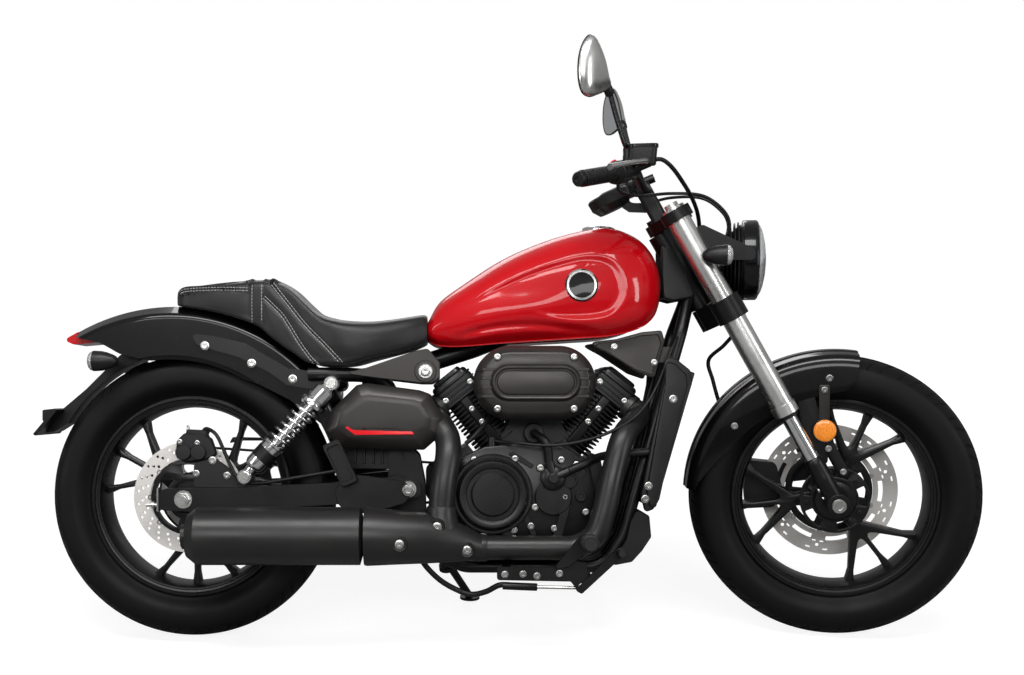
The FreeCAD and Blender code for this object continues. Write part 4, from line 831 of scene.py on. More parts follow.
@dataclass
class FuelTank(SubAssembly):
    """The pressed-steel teardrop tank: recessed side pad, lower crease, bottom seam, cap and badges."""

    stations: Rows = (
        (514, 688, 664, 52), (520, 700, 655, 78), (545, 742, 643, 92), (600, 783, 642, 112),
        (680, 834, 648, 130), (760, 870, 653, 142), (840, 895, 658, 148), (915, 906, 664, 144),
        (975, 886, 680, 126), (1010, 853, 706, 96), (1028, 815, 742, 56), (1031, 796, 760, 24),
    )
    steps_along: int = 13
    steps_round: int = 84
    pad_outer: Outline = (
        (560, 700), (581, 720), (662, 767), (741, 803), (816, 830), (867, 838), (915, 826), (944, 790),
        (947, 745), (915, 704), (867, 690), (800, 694), (730, 712), (640, 700))
    pad_inner: Outline = (
        (570, 702), (600, 720), (670, 759), (741, 791), (819, 812), (867, 818), (903, 808), (922, 767),
        (912, 730), (884, 714), (800, 708), (730, 714), (640, 704))
    pad_depth: float = 8.0
    crease_depth: float = 5.0
    crease_width: float = 8.0
    crease: Outline = ((570, 656), (640, 676), (713, 684), (775, 682), (835, 675), (890, 673))
    flange: float = 3.5
    tunnel: Outline = ((500, 640), (620, 676), (800, 748), (1120, 816))
    tunnel_half: float = 33.0
    badge: tuple[float, float] = (846.0, 768.0)
    cap: tuple[float, float] = (900.0, 905.0)

    def tunnel_top(self, x: float) -> float:
        """The height of the tunnel over the frame's backbone.

        Args:
            x: Where along the tank.

        Returns:
            The height in mm.
        """
        for (ax, az), (bx, bz) in zip(self.tunnel, self.tunnel[1:]):
            if x <= bx:
                return az + (bz - az) * (x - ax) / (bx - ax)
        return self.tunnel[-1][1]

    def section(self, x: float, top: float, bottom: float, half: float) -> list[Vector]:
        """One cross-section's right half, from the top down to the tunnel's middle.

        Args:
            x: Where along the tank.
            top: The top's height.
            bottom: The lower edge's height.
            half: Half of the width.

        Returns:
            The line's points.
        """
        high = top - bottom
        stops = [(0.0, top), (0.5 * half, top - 0.05 * high), (0.86 * half, top - 0.24 * high),
                 (half, top - 0.55 * high), (0.93 * half, top - 0.85 * high), (0.74 * half, bottom + 1)]
        ghost = [(-0.5 * half, top - 0.05 * high)] + stops + [(0.5 * half, bottom - 0.1 * high)]
        line = smooth_path([(x, -y, z) for y, z in ghost], self.steps_round // 5)
        first = self.steps_round // 5
        line = line[first:-first]
        lip = 0.74 * half
        inner = min(self.tunnel_half, lip * 0.6)
        roof = max(min(self.tunnel_top(x), top - 12), bottom + 2)
        line += [Vector((x, -y, z)) for y, z in (
            (lip + self.flange, bottom + 0.5), (lip + self.flange, bottom - 2.0), (lip - 6, bottom - 2.0),
            (inner, bottom), (inner, roof), (0.0, roof))]
        return line

    def pressed(self, x: float, z: float) -> float:
        """How deep the sheet is pressed in at a place of the side view.

        Args:
            x: The place's X.
            z: Its Z.

        Returns:
            The depth in mm.
        """
        depth = 0.0
        upper = smoothstep(575, 740, x)
        lower = smoothstep(730, 850, x)
        share = smoothstep(-26, 26, z - (722 + (x - 600) * 0.14))
        full = self.pad_depth * (upper * share + lower * (1 - share))
        if within(self.inner_line, x, z):
            depth = full
        elif within(self.outer_line, x, z):
            far, near = away(self.outer_line, x, z, True), away(self.inner_line, x, z, True)
            depth = full * smoothstep(0, 1, far / max(far + near, 1e-6))
        beside = away(self.crease_line, x, z)
        ends = smoothstep(560, 640, x) * (1 - smoothstep(820, 895, x))
        return depth + ends * self.crease_depth * math.exp(-(beside / self.crease_width) ** 2)

    def build(self) -> None:
        """Make the tank, its cap and its badges."""
        self.outer_line, self.inner_line = curved(self.pad_outer, 4), curved(self.pad_inner, 4)
        self.crease_line = curved(self.crease, 4)
        rings = []
        for x, top, bottom, half in (tuple(s) for s in smooth_path(self.stations, self.steps_along)):
            line = self.section(x, top, bottom, half)
            for point in line[:-6]:
                side = smoothstep(0.3, 0.75, -point.y / max(half, 1))
                if side > 0:
                    point.y += self.pressed(point.x, point.z) * side
            mirrored = [Vector((p.x, -p.y, p.z)) for p in reversed(line[1:-1])]
            rings.append(line + mirrored)
        self.hull = Hull(rings)
        self.shop.fit(
            "tank_shell", Form().skin(rings), Body.CHASSIS, CANDY_RED, replaces=("fuel_tank",), crease=50)
        self.add_badges()
        x, z = self.cap
        lid = Form().turned(
            [(0, 5.5), (20, 5.2), (32, 4.0), (36, 2.2), (37, -4), (0, -4)], (x, 0, z), (0.02, 0, 1), 64)
        self.shop.fit("filler_cap", lid, Body.CHASSIS, CHROME)

    def add_badges(self) -> None:
        """A plain round badge on each side: a black field in a silver ring."""
        x, z = self.badge
        for name, radii, finish in (
                ("tank_badge_field", ((0, 2.0), (12, 2.0), (26.5, 2.0), (27.5, 1.0)), GLOSS_BLACK),
                ("tank_badge_ring", ((26.8, 0.5), (27.2, 2.6), (31.5, 2.6), (32, 0.5)), ZINC),
                ("tank_badge_edge", ((31.4, 0.3), (31.8, 2.2), (34.6, 1.8), (35.0, 0.0)), GLOSS_BLACK)):
            rings = [[self.hull.on_side(*spot, proud) for spot in circle(x, z, r, 72)] for r, proud in radii]
            self.shop.fit(name, Form().skin(rings, capped=False).mirror_copy(), Body.CHASSIS, finish)


@dataclass
class Saddle(SubAssembly):
    """The one-piece padded saddle: pillion pad, strap, bolstered back and stitched panels."""

    stations: Rows = (
        (-34, 754, 740, 40), (-30, 765, 731, 58), (-15, 774, 728, 74), (20, 776, 722, 84), (60, 781, 714, 92),
        (110, 786, 700, 98), (150, 789, 684, 102), (180, 787, 660, 107), (206, 780, 640, 111),
        (231, 764, 624, 117), (258, 738, 606, 124), (287, 713, 600, 134), (321, 701, 600, 144),
        (355, 696, 603, 148), (395, 695, 614, 145), (435, 699, 624, 134), (478, 706, 635, 116),
        (508, 711, 646, 98), (517, 708, 652, 92),
    )
    steps_along: int = 9
    fender: tuple[float, float, float] = (-40.0, 300.0, 431.5)
    fender_half: float = 90.0
    strap: tuple[float, float] = (136.0, 164.0)
    seam_front: Outline = ((181, 812), (184, 774), (220, 729), (257, 684), (297, 644), (342, 596))
    seam_rear: Outline = ((165, 746), (186, 726), (208, 703), (243, 648), (270, 612), (293, 592))
    piping: Outline = ((-24, 757), (-8, 763), (60, 765), (134, 763))
    thread: float = 0.9
    stitch: float = 5.0
    stitch_gap: float = 2.2

    def section(self, x: float, top: float, bottom: float, half: float) -> list[Vector]:
        """One cross-section as a closed ring, crowned above and arched over the mudguard below.

        Args:
            x: Where along the saddle.
            top: The top's height.
            bottom: The lower edge's height.
            half: Half of the width.

        Returns:
            The right half's points.
        """
        high = top - bottom
        shoulder = min(17.0, high * 0.3)
        stops = [(0.0, top), (0.35 * half, top - 0.6), (0.66 * half, top - 3),
                 (0.88 * half, top - 0.5 * shoulder), (0.975 * half, top - 1.3 * shoulder),
                 (half, top - 0.55 * high), (0.985 * half, top - 0.85 * high), (0.95 * half, bottom + 1)]
        ghost = [(-0.35 * half, top - 0.6)] + stops + [(0.8 * half, bottom)]
        line = smooth_path([(x, -y, z) for y, z in ghost], 9)[9:-9]
        for share in (0.93, 0.88, 0.8, 0.6, 0.4, 0.2, 0.0):
            line.append(Vector((x, -0.95 * half * share, bottom)))
        cx, cz, radius = self.fender
        roof = cz + math.sqrt(max(radius ** 2 - (x - cx) ** 2, 0.0))
        for point in line:
            if abs(point.y) < self.fender_half and x < 262:
                fall = 20 * smoothstep(38, self.fender_half, abs(point.y))
                point.z = max(point.z, min(roof - fall, top - 8))
        return line

    def raised(self, x: float, z: float) -> float:
        """How far the padding stands out or a seam pulls it in.

        Args:
            x: The place's X.
            z: Its Z.

        Returns:
            The height in mm, below 0 in a seam.
        """
        pull = 0.0
        swell = 5.0
        for line in (self.front_line, self.rear_line):
            near = away(line, x, z)
            pull += 3.2 * math.exp(-(near / 3.4) ** 2)
            swell = min(swell, 5.0 * (1 - math.exp(-near / 20.0)))
        if x < self.strap[0]:
            near = away(self.piping_line, x, z)
            pull += 1.8 * math.exp(-(near / 3.0) ** 2)
            swell = min(
                swell, 4.0 * (1 - math.exp(-(self.strap[0] - x) / 14.0)), 4.0 * (1 - math.exp(-near / 16)))
        low, high = self.strap
        if low - 6 < x < high + 6:
            band = smoothstep(low - 1.5, low + 1.5, x) * (1 - smoothstep(high - 1.5, high + 1.5, x))
            edge = math.exp(-((x - low) / 2.5) ** 2) + math.exp(-((x - high) / 2.5) ** 2)
            swell = swell * (1 - band) + 3.4 * band - 2.4 * edge
        elif x >= high:
            swell = min(swell, 5.0 * (1 - math.exp(-(x - high) / 12.0)))
        return (swell - 3.6) - pull

    def build(self) -> None:
        """Make the saddle's cover and its thread."""
        self.front_line, self.rear_line = curved(self.seam_front, 5), curved(self.seam_rear, 5)
        self.piping_line = curved(self.piping, 5)
        rings = []
        for x, top, bottom, half in (tuple(s) for s in smooth_path(self.stations, self.steps_along)):
            line = self.section(x, top, bottom, half)
            lower = bottom + 0.18 * (top - bottom)
            for index in range(len(line) - 9):
                point = line[index]
                before, after = line[max(index - 1, 0)], line[index + 1]
                run = after - before
                normal = Vector((0, run.z, -run.y)).normalized()
                if normal.y > 0:
                    normal = -normal
                if index == 0:
                    normal = Vector((0, 0, 1))
                ease = smoothstep(bottom, lower, point.z)
                point += normal * self.raised(point.x, point.z) * ease
            rings.append(line + [Vector((p.x, -p.y, p.z)) for p in reversed(line[1:-1])])
        self.hull = Hull(rings)
        cover = self.shop.fit(
            "saddle_cover", Form().skin(rings), Body.CHASSIS, SADDLE_HIDE, replaces=("seat",), crease=60)
        self.add_thread()

    def add_thread(self) -> None:
        """Rows of stitches on both sides of each seam."""
        form = Form()
        rows = []
        for line in (self.seam_front[1:], self.seam_rear):
            rows += [self.beside(line, 3.2), self.beside(line, -3.2)]
        rows += [self.beside(self.piping, 3.0), self.beside(self.piping, -3.0)]
        for x in (self.strap[0] + 3.5, self.strap[1] - 3.5):
            rows.append([(x, z) for z in range(772, 688, -2)])
        for row in rows:
            self.sew(form, row)
        self.shop.fit("saddle_stitches", form.mirror_copy(), Body.CHASSIS, THREAD, crease=80)

    @staticmethod
    def beside(line: Outline, gap: float) -> list[tuple[float, float]]:
        """The same line moved sideways in the side view.

        Args:
            line: The line's points.
            gap: How far it moves, in mm.

        Returns:
            The moved line.
        """
        points = [Vector((x, z)) for x, z in curved(line, 16)]
        moved = []
        for before, point, after in zip(points[:1] + points, points, points[1:] + points[-1:]):
            run = (after - before).normalized()
            moved.append((point.x - run.y * gap, point.y + run.x * gap))
        return moved

    def sew(self, form: Form, row: Outline) -> None:
        """Lay stitches along a row.

        Args:
            form: The form that gets the stitches.
            row: The row's points.
        """
        spots = [self.hull.on_side(x, z, 0.5) for x, z in row if self.hull.side_y(x, z) < -20]
        if len(spots) < 3:
            return
        walked, target, begin = 0.0, 0.0, None
        for a, b in zip(spots, spots[1:]):
            step = (b - a).length
            while walked + step >= target:
                point = a.lerp(b, (target - walked) / max(step, 1e-6))
                if begin is None:
                    begin, target = point, target + self.stitch
                else:
                    form.tube([begin, begin.lerp(point, 0.5) + Vector((0, -0.3, 0)), point], self.thread, 6)
                    begin, target = None, target + self.stitch_gap
            walked += step


@dataclass
class Tyre(SubAssembly):
    """A tubeless tyre with its tread grooves cut into the crown."""

    name: str
    node: str
    body: Body
    hub: float
    width: float
    bead: float
    radius: float = WHEEL_RADIUS
    crown_drop: float = 24.0
    shoulder: float = 7.0
    seat: float = 206.3
    steps_round: int = 720
    steps_across: int = 46
    steps_wall: int = 2
    pitches: int = 27
    groove: float = 4.2
    groove_half: float = 2.3
    rib_half: float = 15.0

    def crown(self) -> list[tuple[float, float]]:
        """The tread's outline as (radius, y), from the left shoulder to the right one.

        Returns:
            The outline's points.
        """
        half = self.width / 2 - self.shoulder
        bow = (half ** 2 + self.crown_drop ** 2) / (2 * self.crown_drop)
        reach = math.asin(half / bow)
        turns = [reach * (1 - 2 * step / self.steps_across) for step in range(self.steps_across + 1)]
        return [(self.radius - bow + bow * math.cos(a), bow * math.sin(a)) for a in turns]

    def wall(self) -> list[tuple[float, float]]:
        """The right sidewall's outline from the shoulder to the bead, as (radius, y).

        Returns:
            The outline's points.
        """
        half, edge = self.width / 2, self.width / 2 - self.shoulder
        stops = [(289, edge), (282, edge + 3.6), (272, edge + 6.2), (259, half), (247, half - 1.8),
                 (236, (half + self.bead) / 2 + 3.5), (226, self.bead + 6.5), (218, self.bead + 1.6),
                 (211, self.bead + 0.3), (self.seat, self.bead)]
        line = smooth_path([(r, y, 0) for r, y in stops], self.steps_wall)[1:]
        return [(p.x, -p.y) for p in line]

    def cut(self, along: float, across: float) -> float:
        """How deep the tread is cut at a place given along the rolling line and across it.

        Args:
            along: The place along the rolling line, in mm.
            across: The place across it.

        Returns:
            The depth in mm.
        """
        pitch = math.tau * self.radius / self.pitches
        half = self.width / 2 - self.shoulder
        depth = max(0.0, 1 - (abs(abs(across) - self.rib_half) / self.groove_half) ** 4)
        share = abs(across) / half
        lead = pitch / 4 if across > 0 else 0.0
        for offset, first, last, lean in ((0.0, 0.3, 1.0, 40.0), (0.5, 0.55, 0.96, 30.0)):
            if first < share < last:
                path = offset * pitch + lead + lean * share ** 1.5
                beside = (along - path + pitch / 2) % pitch - pitch / 2
                ends = smoothstep(first, first + 0.08, share)
                depth = max(depth, ends * max(0.0, 1 - (abs(beside) * 0.8 / self.groove_half) ** 4))
        return depth * self.groove

    def build(self) -> None:
        """Make the tyre."""
        crown, wall = self.crown(), self.wall()
        left = [(r, -y) for r, y in reversed(wall)]
        inner = [(self.seat, 14 - self.bead), (self.seat, self.bead - 14)]
        points, count = [], len(left) + len(crown) + len(wall) + 2
        for step in range(self.steps_round):
            angle = math.tau * step / self.steps_round
            ring = left + [(r - self.cut(angle * self.radius, y), y) for r, y in crown] + wall + inner
            cos, sin = math.cos(angle), math.sin(angle)
            points += [(self.hub + r * cos, y, WHEEL_RADIUS + r * sin) for r, y in ring]
        faces = []
        for step in range(self.steps_round):
            low, high = step * count, (step + 1) % self.steps_round * count
            faces += [
                (low + i, low + (i + 1) % count, high + (i + 1) % count, high + i) for i in range(count)]
        mesh = bpy.data.meshes.new(self.name)
        mesh.from_pydata(points, [], faces)
        self.shop.fit(self.name, mesh, self.body, TYRE_RUBBER, replaces=(self.node,), crease=50)


@dataclass
class BrakeDisc(SubAssembly):
    """A brake disc: a ground steel ring with its slots or holes, on a black carrier."""

    name: str
    node: str
    body: Body
    hub: float
    y: float
    outer: float
    inner: float
    bore: float
    drilled: bool
    thickness: float = 4.5

    def hole(self, radius: float, degrees: float, size: float) -> list[tuple[float, float]]:
        """A round hole's outline."""
        angle = math.radians(degrees)
        return circle(self.hub + radius * math.cos(angle), WHEEL_RADIUS + radius * math.sin(angle), size, 12)

    def build(self) -> None:
        """Make the ring, its carrier and the buttons between them."""
        low, high = self.y - self.thickness / 2, self.y + self.thickness / 2
        lines = [circle(self.hub, WHEEL_RADIUS, radius, 96) for radius in (self.outer, self.inner)]
        if self.drilled:
            middle = (self.outer + self.inner) / 2
            for k in range(24):
                for step, radius in enumerate((middle - 9, middle, middle + 9)):
                    lines.append(self.hole(radius, 15 * k + 4 * step, 3.2))
        else:
            for k in range(9):
                lines.append(kidney(self.hub, self.inner + 16, 40 * k, 24, 10))
                lines.append(self.hole(self.inner + 33, 40 * k + 20, 4.0))
                middle = 40 * k + 20
                for turn in (-8, 8):
                    lines.append(kidney(self.hub, self.outer - 11, middle + turn, 4.5, 4.0))
                    lines.append(kidney(self.hub, self.inner + 24, middle + turn * 0.5, 4.0, 3.5))
        self.shop.fit(self.name + "_ring", sheet_part(lines, low, high, 0.4), self.body, DISC_STEEL,
                 replaces=(self.node,))
        windows = [circle(self.hub, WHEEL_RADIUS, self.inner - 1.5, 72),
                   circle(self.hub, WHEEL_RADIUS, self.bore, 48)]
        reach, width = (self.inner + self.bore) / 2, (self.inner - self.bore) * 0.45
        windows += [kidney(self.hub, reach, 72 * k + 10, 44, width) for k in range(5)]
        carrier = Form().merge(sheet_part(windows, low - 1.5, high - 0.8, 0.6))
        self.shop.fit(self.name + "_carrier", carrier, self.body, RIM_BLACK)
        buttons = Form()
        side = -1.0 if self.y < 0 else 1.0
        for k in range(9):
            angle = math.radians(40 * k + 20)
            spot = (
                self.hub + self.inner * math.cos(angle), self.y, WHEEL_RADIUS + self.inner * math.sin(angle))
            buttons.turned([(0, -3.4), (5.5, -3.4), (6, -2.8), (6, 2.8), (5.5, 3.4), (3, 3.4), (2.6, 2.2),
                            (0, 2.2)], spot, (0, side, 0), 18)
        self.shop.fit(self.name + "_buttons", buttons, self.body, ZINC)


@dataclass
class Fork(SubAssembly):
    """The upside-down fork's lower half: hard-chrome stanchions in black bottom castings."""

    spread: float = 104.0
    stanchion: float = 15.5
    casting: float = 20.0
    lip: float = 228.0
    foot_half: float = 22.0

    def build(self) -> None:
        """Make both legs' stanchions, castings and pinch bolts."""
        axis = Vector((-math.sin(RAKE), 0, math.cos(RAKE)))
        y = RIGHT * self.spread
        foot = steer_place(0, FORK_OFFSET, y)
        tube = Form().turned([(0, 80), (self.stanchion, 80), (self.stanchion, self.lip + 117),
                              (0, self.lip + 117)], foot, axis, 48)
        self.shop.fit(
            "fork_stanchions", tube.mirror_copy(), Body.STEERING, CHROME, replaces=("fork_sliders",))
        r = self.casting
        profile = [(0, -10), (r - 4, -10), (r, -4), (r, 58), (r + 0.8, 62), (r + 0.8, 66), (r, 70), (r, 98),
                   (r - 0.6, 106), (r - 3, 112), (self.stanchion, 113), (self.stanchion, 104), (0, 104)]
        casting = Form().turned(profile, foot, axis, 56)
        boss = [
            (0, -self.foot_half), (22, -self.foot_half), (24, -self.foot_half + 2), (24, self.foot_half - 2),
            (22, self.foot_half), (13.5, self.foot_half), (13.5, self.foot_half - 3), (0, self.foot_half - 3)]
        casting.turned(boss, foot, TO_RIGHT, 56)
        seal = Form().turned([(self.stanchion, 0), (21, 0), (22.5, 2), (22.5, 9), (self.stanchion, 9)],
                             steer_place(self.lip - 15, FORK_OFFSET, y), axis, 48, closed=True)
        self.shop.fit("fork_castings", casting.mirror_copy(), Body.STEERING, FRAME_BLACK)
        self.shop.fit("fork_dust_seals", seal.mirror_copy(), Body.STEERING, SOFT_RUBBER)
        bolts = Form()
        for along in (24, 44):
            bolts.bolt(
                steer_place(along, FORK_OFFSET - r + 0.5, y), (-math.cos(RAKE), 0, -math.sin(RAKE)), 4.5)
        bolts.turned([(0, -2), (15, -2), (15, 1.5), (13.5, 3), (8, 3), (7, 0.5), (0, 0.5)],
                     foot + Vector((0, RIGHT * (self.foot_half + 6.5), 0)), TO_RIGHT, 40)
        self.shop.fit("fork_bolts", bolts.mirror_copy(), Body.STEERING, ZINC)


@dataclass
class Mirrors(SubAssembly):
    """Teardrop mirrors: anodised aluminium shells, silvered glass in thin black rims, dark stems."""

    turn: float = 55.0
    centre: Point = (912.0, 342.0, 1212.0)
    outline: Outline = ((-10, 61), (8, 45), (26, 16), (40, -21), (46, -36), (30, -45), (10, -52), (-13, -58),
                        (-36, -51), (-47, -23), (-45, 16), (-31, 46))
    dome: Outline = ((2, 0.985), (5, 0.985), (9, 0.955), (13, 0.88), (16.5, 0.76), (19, 0.6), (20.4, 0.4),
                     (21, 0.2), (21.1, 0.02))
    rim: Outline = ((3, 0.97), (3, 1.0), (0.5, 1.005), (-0.5, 0.99), (-0.5, 0.955), (1.2, 0.95))

    def build(self) -> None:
        """Make both mirrors."""
        loop = smooth_path([(a, h, 0) for a, h in self.outline + self.outline[:3]], 8)[8:-8 - 1]
        shells, rims, glasses, stems, joints = Form(), Form(), Form(), Form(), Form()
        for side in (RIGHT, LEFT):
            x, y, z = self.centre
            centre = Vector((x, side * y, z))
            angle = math.radians(self.turn)
            back = Vector((math.sin(angle), side * math.cos(angle), 0))
            across = Vector((math.cos(angle), -side * math.sin(angle), 0))

            def ring(depth: float, share: float) -> list[Vector]:
                """The outline drawn in by a share, at a depth behind the glass."""
                line = []
                for p in loop:
                    line.append(centre + across * (p.x * share) + Vector((0, 0, p.y * share)) + back * depth)
                return line

            shells.skin([ring(*step) for step in self.dome])
            rims.skin([ring(*step) for step in self.rim], closed=True)
            glasses.skin([ring(0.4, 0.956), ring(1.0, 0.956)])
            outer, run = bar_end(side)
            base = outer - run * 165
            stems.tube(smooth_path([
                base + Vector((-1, 0, 44)), Vector((968, side * 246, 1078)), Vector((952, side * 280, 1132)),
                Vector((941, side * 309, 1176))], 12), 5.5, 16)
            joints.turned([(0, 14), (9.5, 14), (10, 16), (10, 30), (9, 32), (9, 44), (7, 50), (0, 51)], base,
                          (-0.04, 0, 1), 32)
            joints.turned([(0, -1), (6, 0), (9, 4), (9.5, 12), (9, 20), (6, 25), (0, 26)],
                          Vector((943, side * 300, 1162)), (-7, side * 14, 22), 28)
        self.shop.fit("mirror_shells", shells, Body.STEERING, ANODISED, replaces=("mirrors",), crease=50)
        self.shop.fit("mirror_rims", rims, Body.STEERING, NYLON)
        self.shop.fit("mirror_glass", glasses, Body.STEERING, SILVERED)
        self.shop.fit("mirror_stems", stems, Body.STEERING, DARK_CHROME)
        self.shop.fit("mirror_joints", joints, Body.STEERING, NYLON)


def bar_end(side: float) -> tuple[Vector, Vector]:
    """The handlebar's end on one side and the way that it points."""
    outer = Vector((893, side * 372, 996))
    return outer, (outer - Vector((989, side * 210, 1023))).normalized()


@dataclass
class BarControls(SubAssembly):
    """Grips, switch housings, levers and the brake fluid reservoir on the handlebar."""

    bar: float = 11.1
    grip: float = 16.8
    grip_length: float = 118.0
    rib_pitch: float = 6.5

    def build(self) -> None:
        """Make the controls of both bar ends."""
        grips, weights, levers, perches = Form(), Form(), Form(), Form()
        for side in (RIGHT, LEFT):
            outer, run = bar_end(side)
            start = outer - run * self.grip_length
            profile = [(self.bar, 0), (22.5, 0), (23, 2), (22.5, 5), (self.grip, 6.5)]
            height = 14.0
            while height < self.grip_length - 8:
                profile += [(self.grip - 1.6, height), (self.grip - 1.6, height + 1.6),
                            (self.grip, height + 2.4), (self.grip, height + self.rib_pitch - 0.8)]
                height += self.rib_pitch
            profile += [(self.grip, self.grip_length - 1), (self.grip - 1, self.grip_length),
                        (self.bar, self.grip_length)]
            grips.turned(profile, start, run, 48, closed=True)
            weights.turned([(0, 0.3), (14, 0.3), (15, 1.5), (15, 11), (13.5, 13.6), (6, 13.8), (5, 12),
                            (0, 12)], outer, run, 40)
            ahead = Vector((0.86, 0, 0.35)).normalized()
            root = outer - run * (self.grip_length + 60)
            middle = root + run * 13
            perches.turned([(self.bar, 0), (19, 0), (20, 1), (20, 25), (19, 26), (self.bar, 26)], root, run,
                           40, closed=True)
            perches.tube([middle + ahead * 14, middle + ahead * 20, middle + ahead * 40, middle + ahead * 46],
                         10.8, 24)
            path = smooth_path([
                middle + ahead * 40, root + run * 44 + ahead * 57, root + run * 74 + ahead * 61,
                outer - run * 62 + ahead * 62, outer - run * 26 + ahead * 59, outer - run * 4 + ahead * 56],
                8)
            levers.tube(path, lambda t: 6.4 - 1.6 * math.sin(min(t, 0.93) * math.pi) + 0.6 * (t > 0.93), 20)
        self.shop.fit("rubber_grips", grips, Body.STEERING, SOFT_RUBBER, replaces=("grips",), crease=25)
        self.shop.fit("bar_end_weights", weights, Body.STEERING, FRAME_BLACK)
        self.shop.fit("lever_perches", perches, Body.STEERING, FRAME_BLACK)
        self.shop.fit("lever_blades", levers, Body.STEERING, ANODISED, replaces=("hand_levers",))
        self.add_reservoir()
        self.add_switches()

    def add_reservoir(self) -> None:
        """The square fluid reservoir with its lid and two screws, on the right."""
        outer, run = bar_end(RIGHT)
        middle = outer - run * (self.grip_length + 47)
        low = middle + Vector((22, 0, 10))

        def ring(grow: float, height: float) -> list[Vector]:
            """The reservoir's outline, grown and lifted.

            Args:
                grow: How far it is grown, in mm.
                height: How high it is.

            Returns:
                The outline's points.
            """
            corners = [(-24 - grow, -22 - grow), (34 + grow, -22 - grow), (34 + grow, 24 + grow),
                       (-24 - grow, 24 + grow)]
            return [low + Vector((x + height * 0.08, y, height)) for x, y in rounded(corners, 13 + grow)]

        body = Form().skin([ring(-3, 0), ring(-0.5, 1.5), ring(0, 4), ring(0, 36)])
        self.shop.fit("fluid_reservoir", body, Body.STEERING, NYLON)
        lid = Form().skin([ring(0.5, 36), ring(2, 36.4), ring(2, 41), ring(0.8, 42.6), ring(-5, 42.9)])
        self.shop.fit("reservoir_lid", lid, Body.STEERING, GLOSS_BLACK)
        screws = Form()
        for x, y in ((-12, 1), (26, 1)):
            screws.bolt(low + Vector((x, y, 42.6)), (0, 0, 1), 3.6, 1.4)
        self.shop.fit("reservoir_screws", screws, Body.STEERING, ZINC)

    def add_switches(self) -> None:
        """A housing on each side with its rockers, the right one's red."""
        housings, red, black = Form(), Form(), Form()
        for side in (RIGHT, LEFT):
            outer, run = bar_end(side)
            start = outer - run * (self.grip_length + 32)
            housings.turned([(self.bar, 0), (22, 0), (24, 2), (24, 14.6), (23.4, 15), (23.4, 15.6), (24, 16),
                             (24, 29.4), (22, 31.4), (self.bar, 31.4)], start, run, 48, closed=True)
            up = Vector((-0.55, 0, 0.83)).normalized()
            for form, angle_up, reach in (
                    (red if side == RIGHT else black, up, 27.5), (black, Vector((-0.98, 0, 0.17)), 27.0)):
                seat = start + run * 16
                form.tube([seat + angle_up * 20, seat + angle_up * (reach - 1.5), seat + angle_up * reach],
                          lambda t: 7.5 if t < 0.9 else 5.8, 20)
        self.shop.fit("switch_boxes", housings, Body.STEERING, NYLON, replaces=("switch_housings",))
        self.shop.fit("stop_switch", red, Body.STEERING, RED_PLASTIC)
        self.shop.fit("switch_rockers", black, Body.STEERING, NYLON)


@dataclass
class Headlight(SubAssembly):
    """The round headlight: finned shell, ring, clear lens and silvered bowl."""

    centre: Point = (1214.0, 0.0, 835.0)
    fins: int = 5

    def build(self) -> None:
        """Make the headlight's parts."""
        profile = [(0, -46), (40, -46), (46, -44)]
        for index in range(self.fins):
            start = -40 + 8 * index
            reach, root = min(58 + 8 * index, 84), min(46 + 7 * index, 78)
            profile += [(root, start), (reach, start + 0.4), (reach + 0.4, start + 1.5), (reach, start + 2.6),
                        (root + 2, start + 3)]
        profile += [(80, 1), (78, 30), (0, 30)]
        shell = Form().turned(profile, self.centre, (1, 0, 0), 72)
        self.shop.fit("headlight_shell", shell, Body.STEERING, NYLON, replaces=("headlight",), crease=30)
        ring = Form().turned([(79, 2), (86, 2.4), (88, 5), (88, 31), (86.5, 34), (83, 36.5), (80.5, 36),
                              (80, 30.5), (79, 30.5)], self.centre, (1, 0, 0), 96, closed=True)
        self.shop.fit("headlight_ring", ring, Body.STEERING, GLOSS_BLACK)
        bowl = Form().turned([(0, 31), (20, 31.2), (30, 31.5), (30.5, 35), (34, 35.5), (36, 32), (60, 31.4),
                              (79.6, 31)], self.centre, (1, 0, 0), 72)
        self.shop.fit("headlight_bowl", bowl, Body.STEERING, SILVERED)
        lens = Form().turned([
            (0, 54), (18, 53.4), (38, 51.3), (58, 47.2), (70, 43.2), (78, 38.8), (80.4, 34.5), (78.6, 34.5),
            (76, 37), (68, 41.4), (56, 45.4), (36, 49.3), (0, 51.8)], self.centre, (1, 0, 0), 96)
        self.shop.fit("headlight_lens", lens, Body.STEERING, CLEAR_LENS)


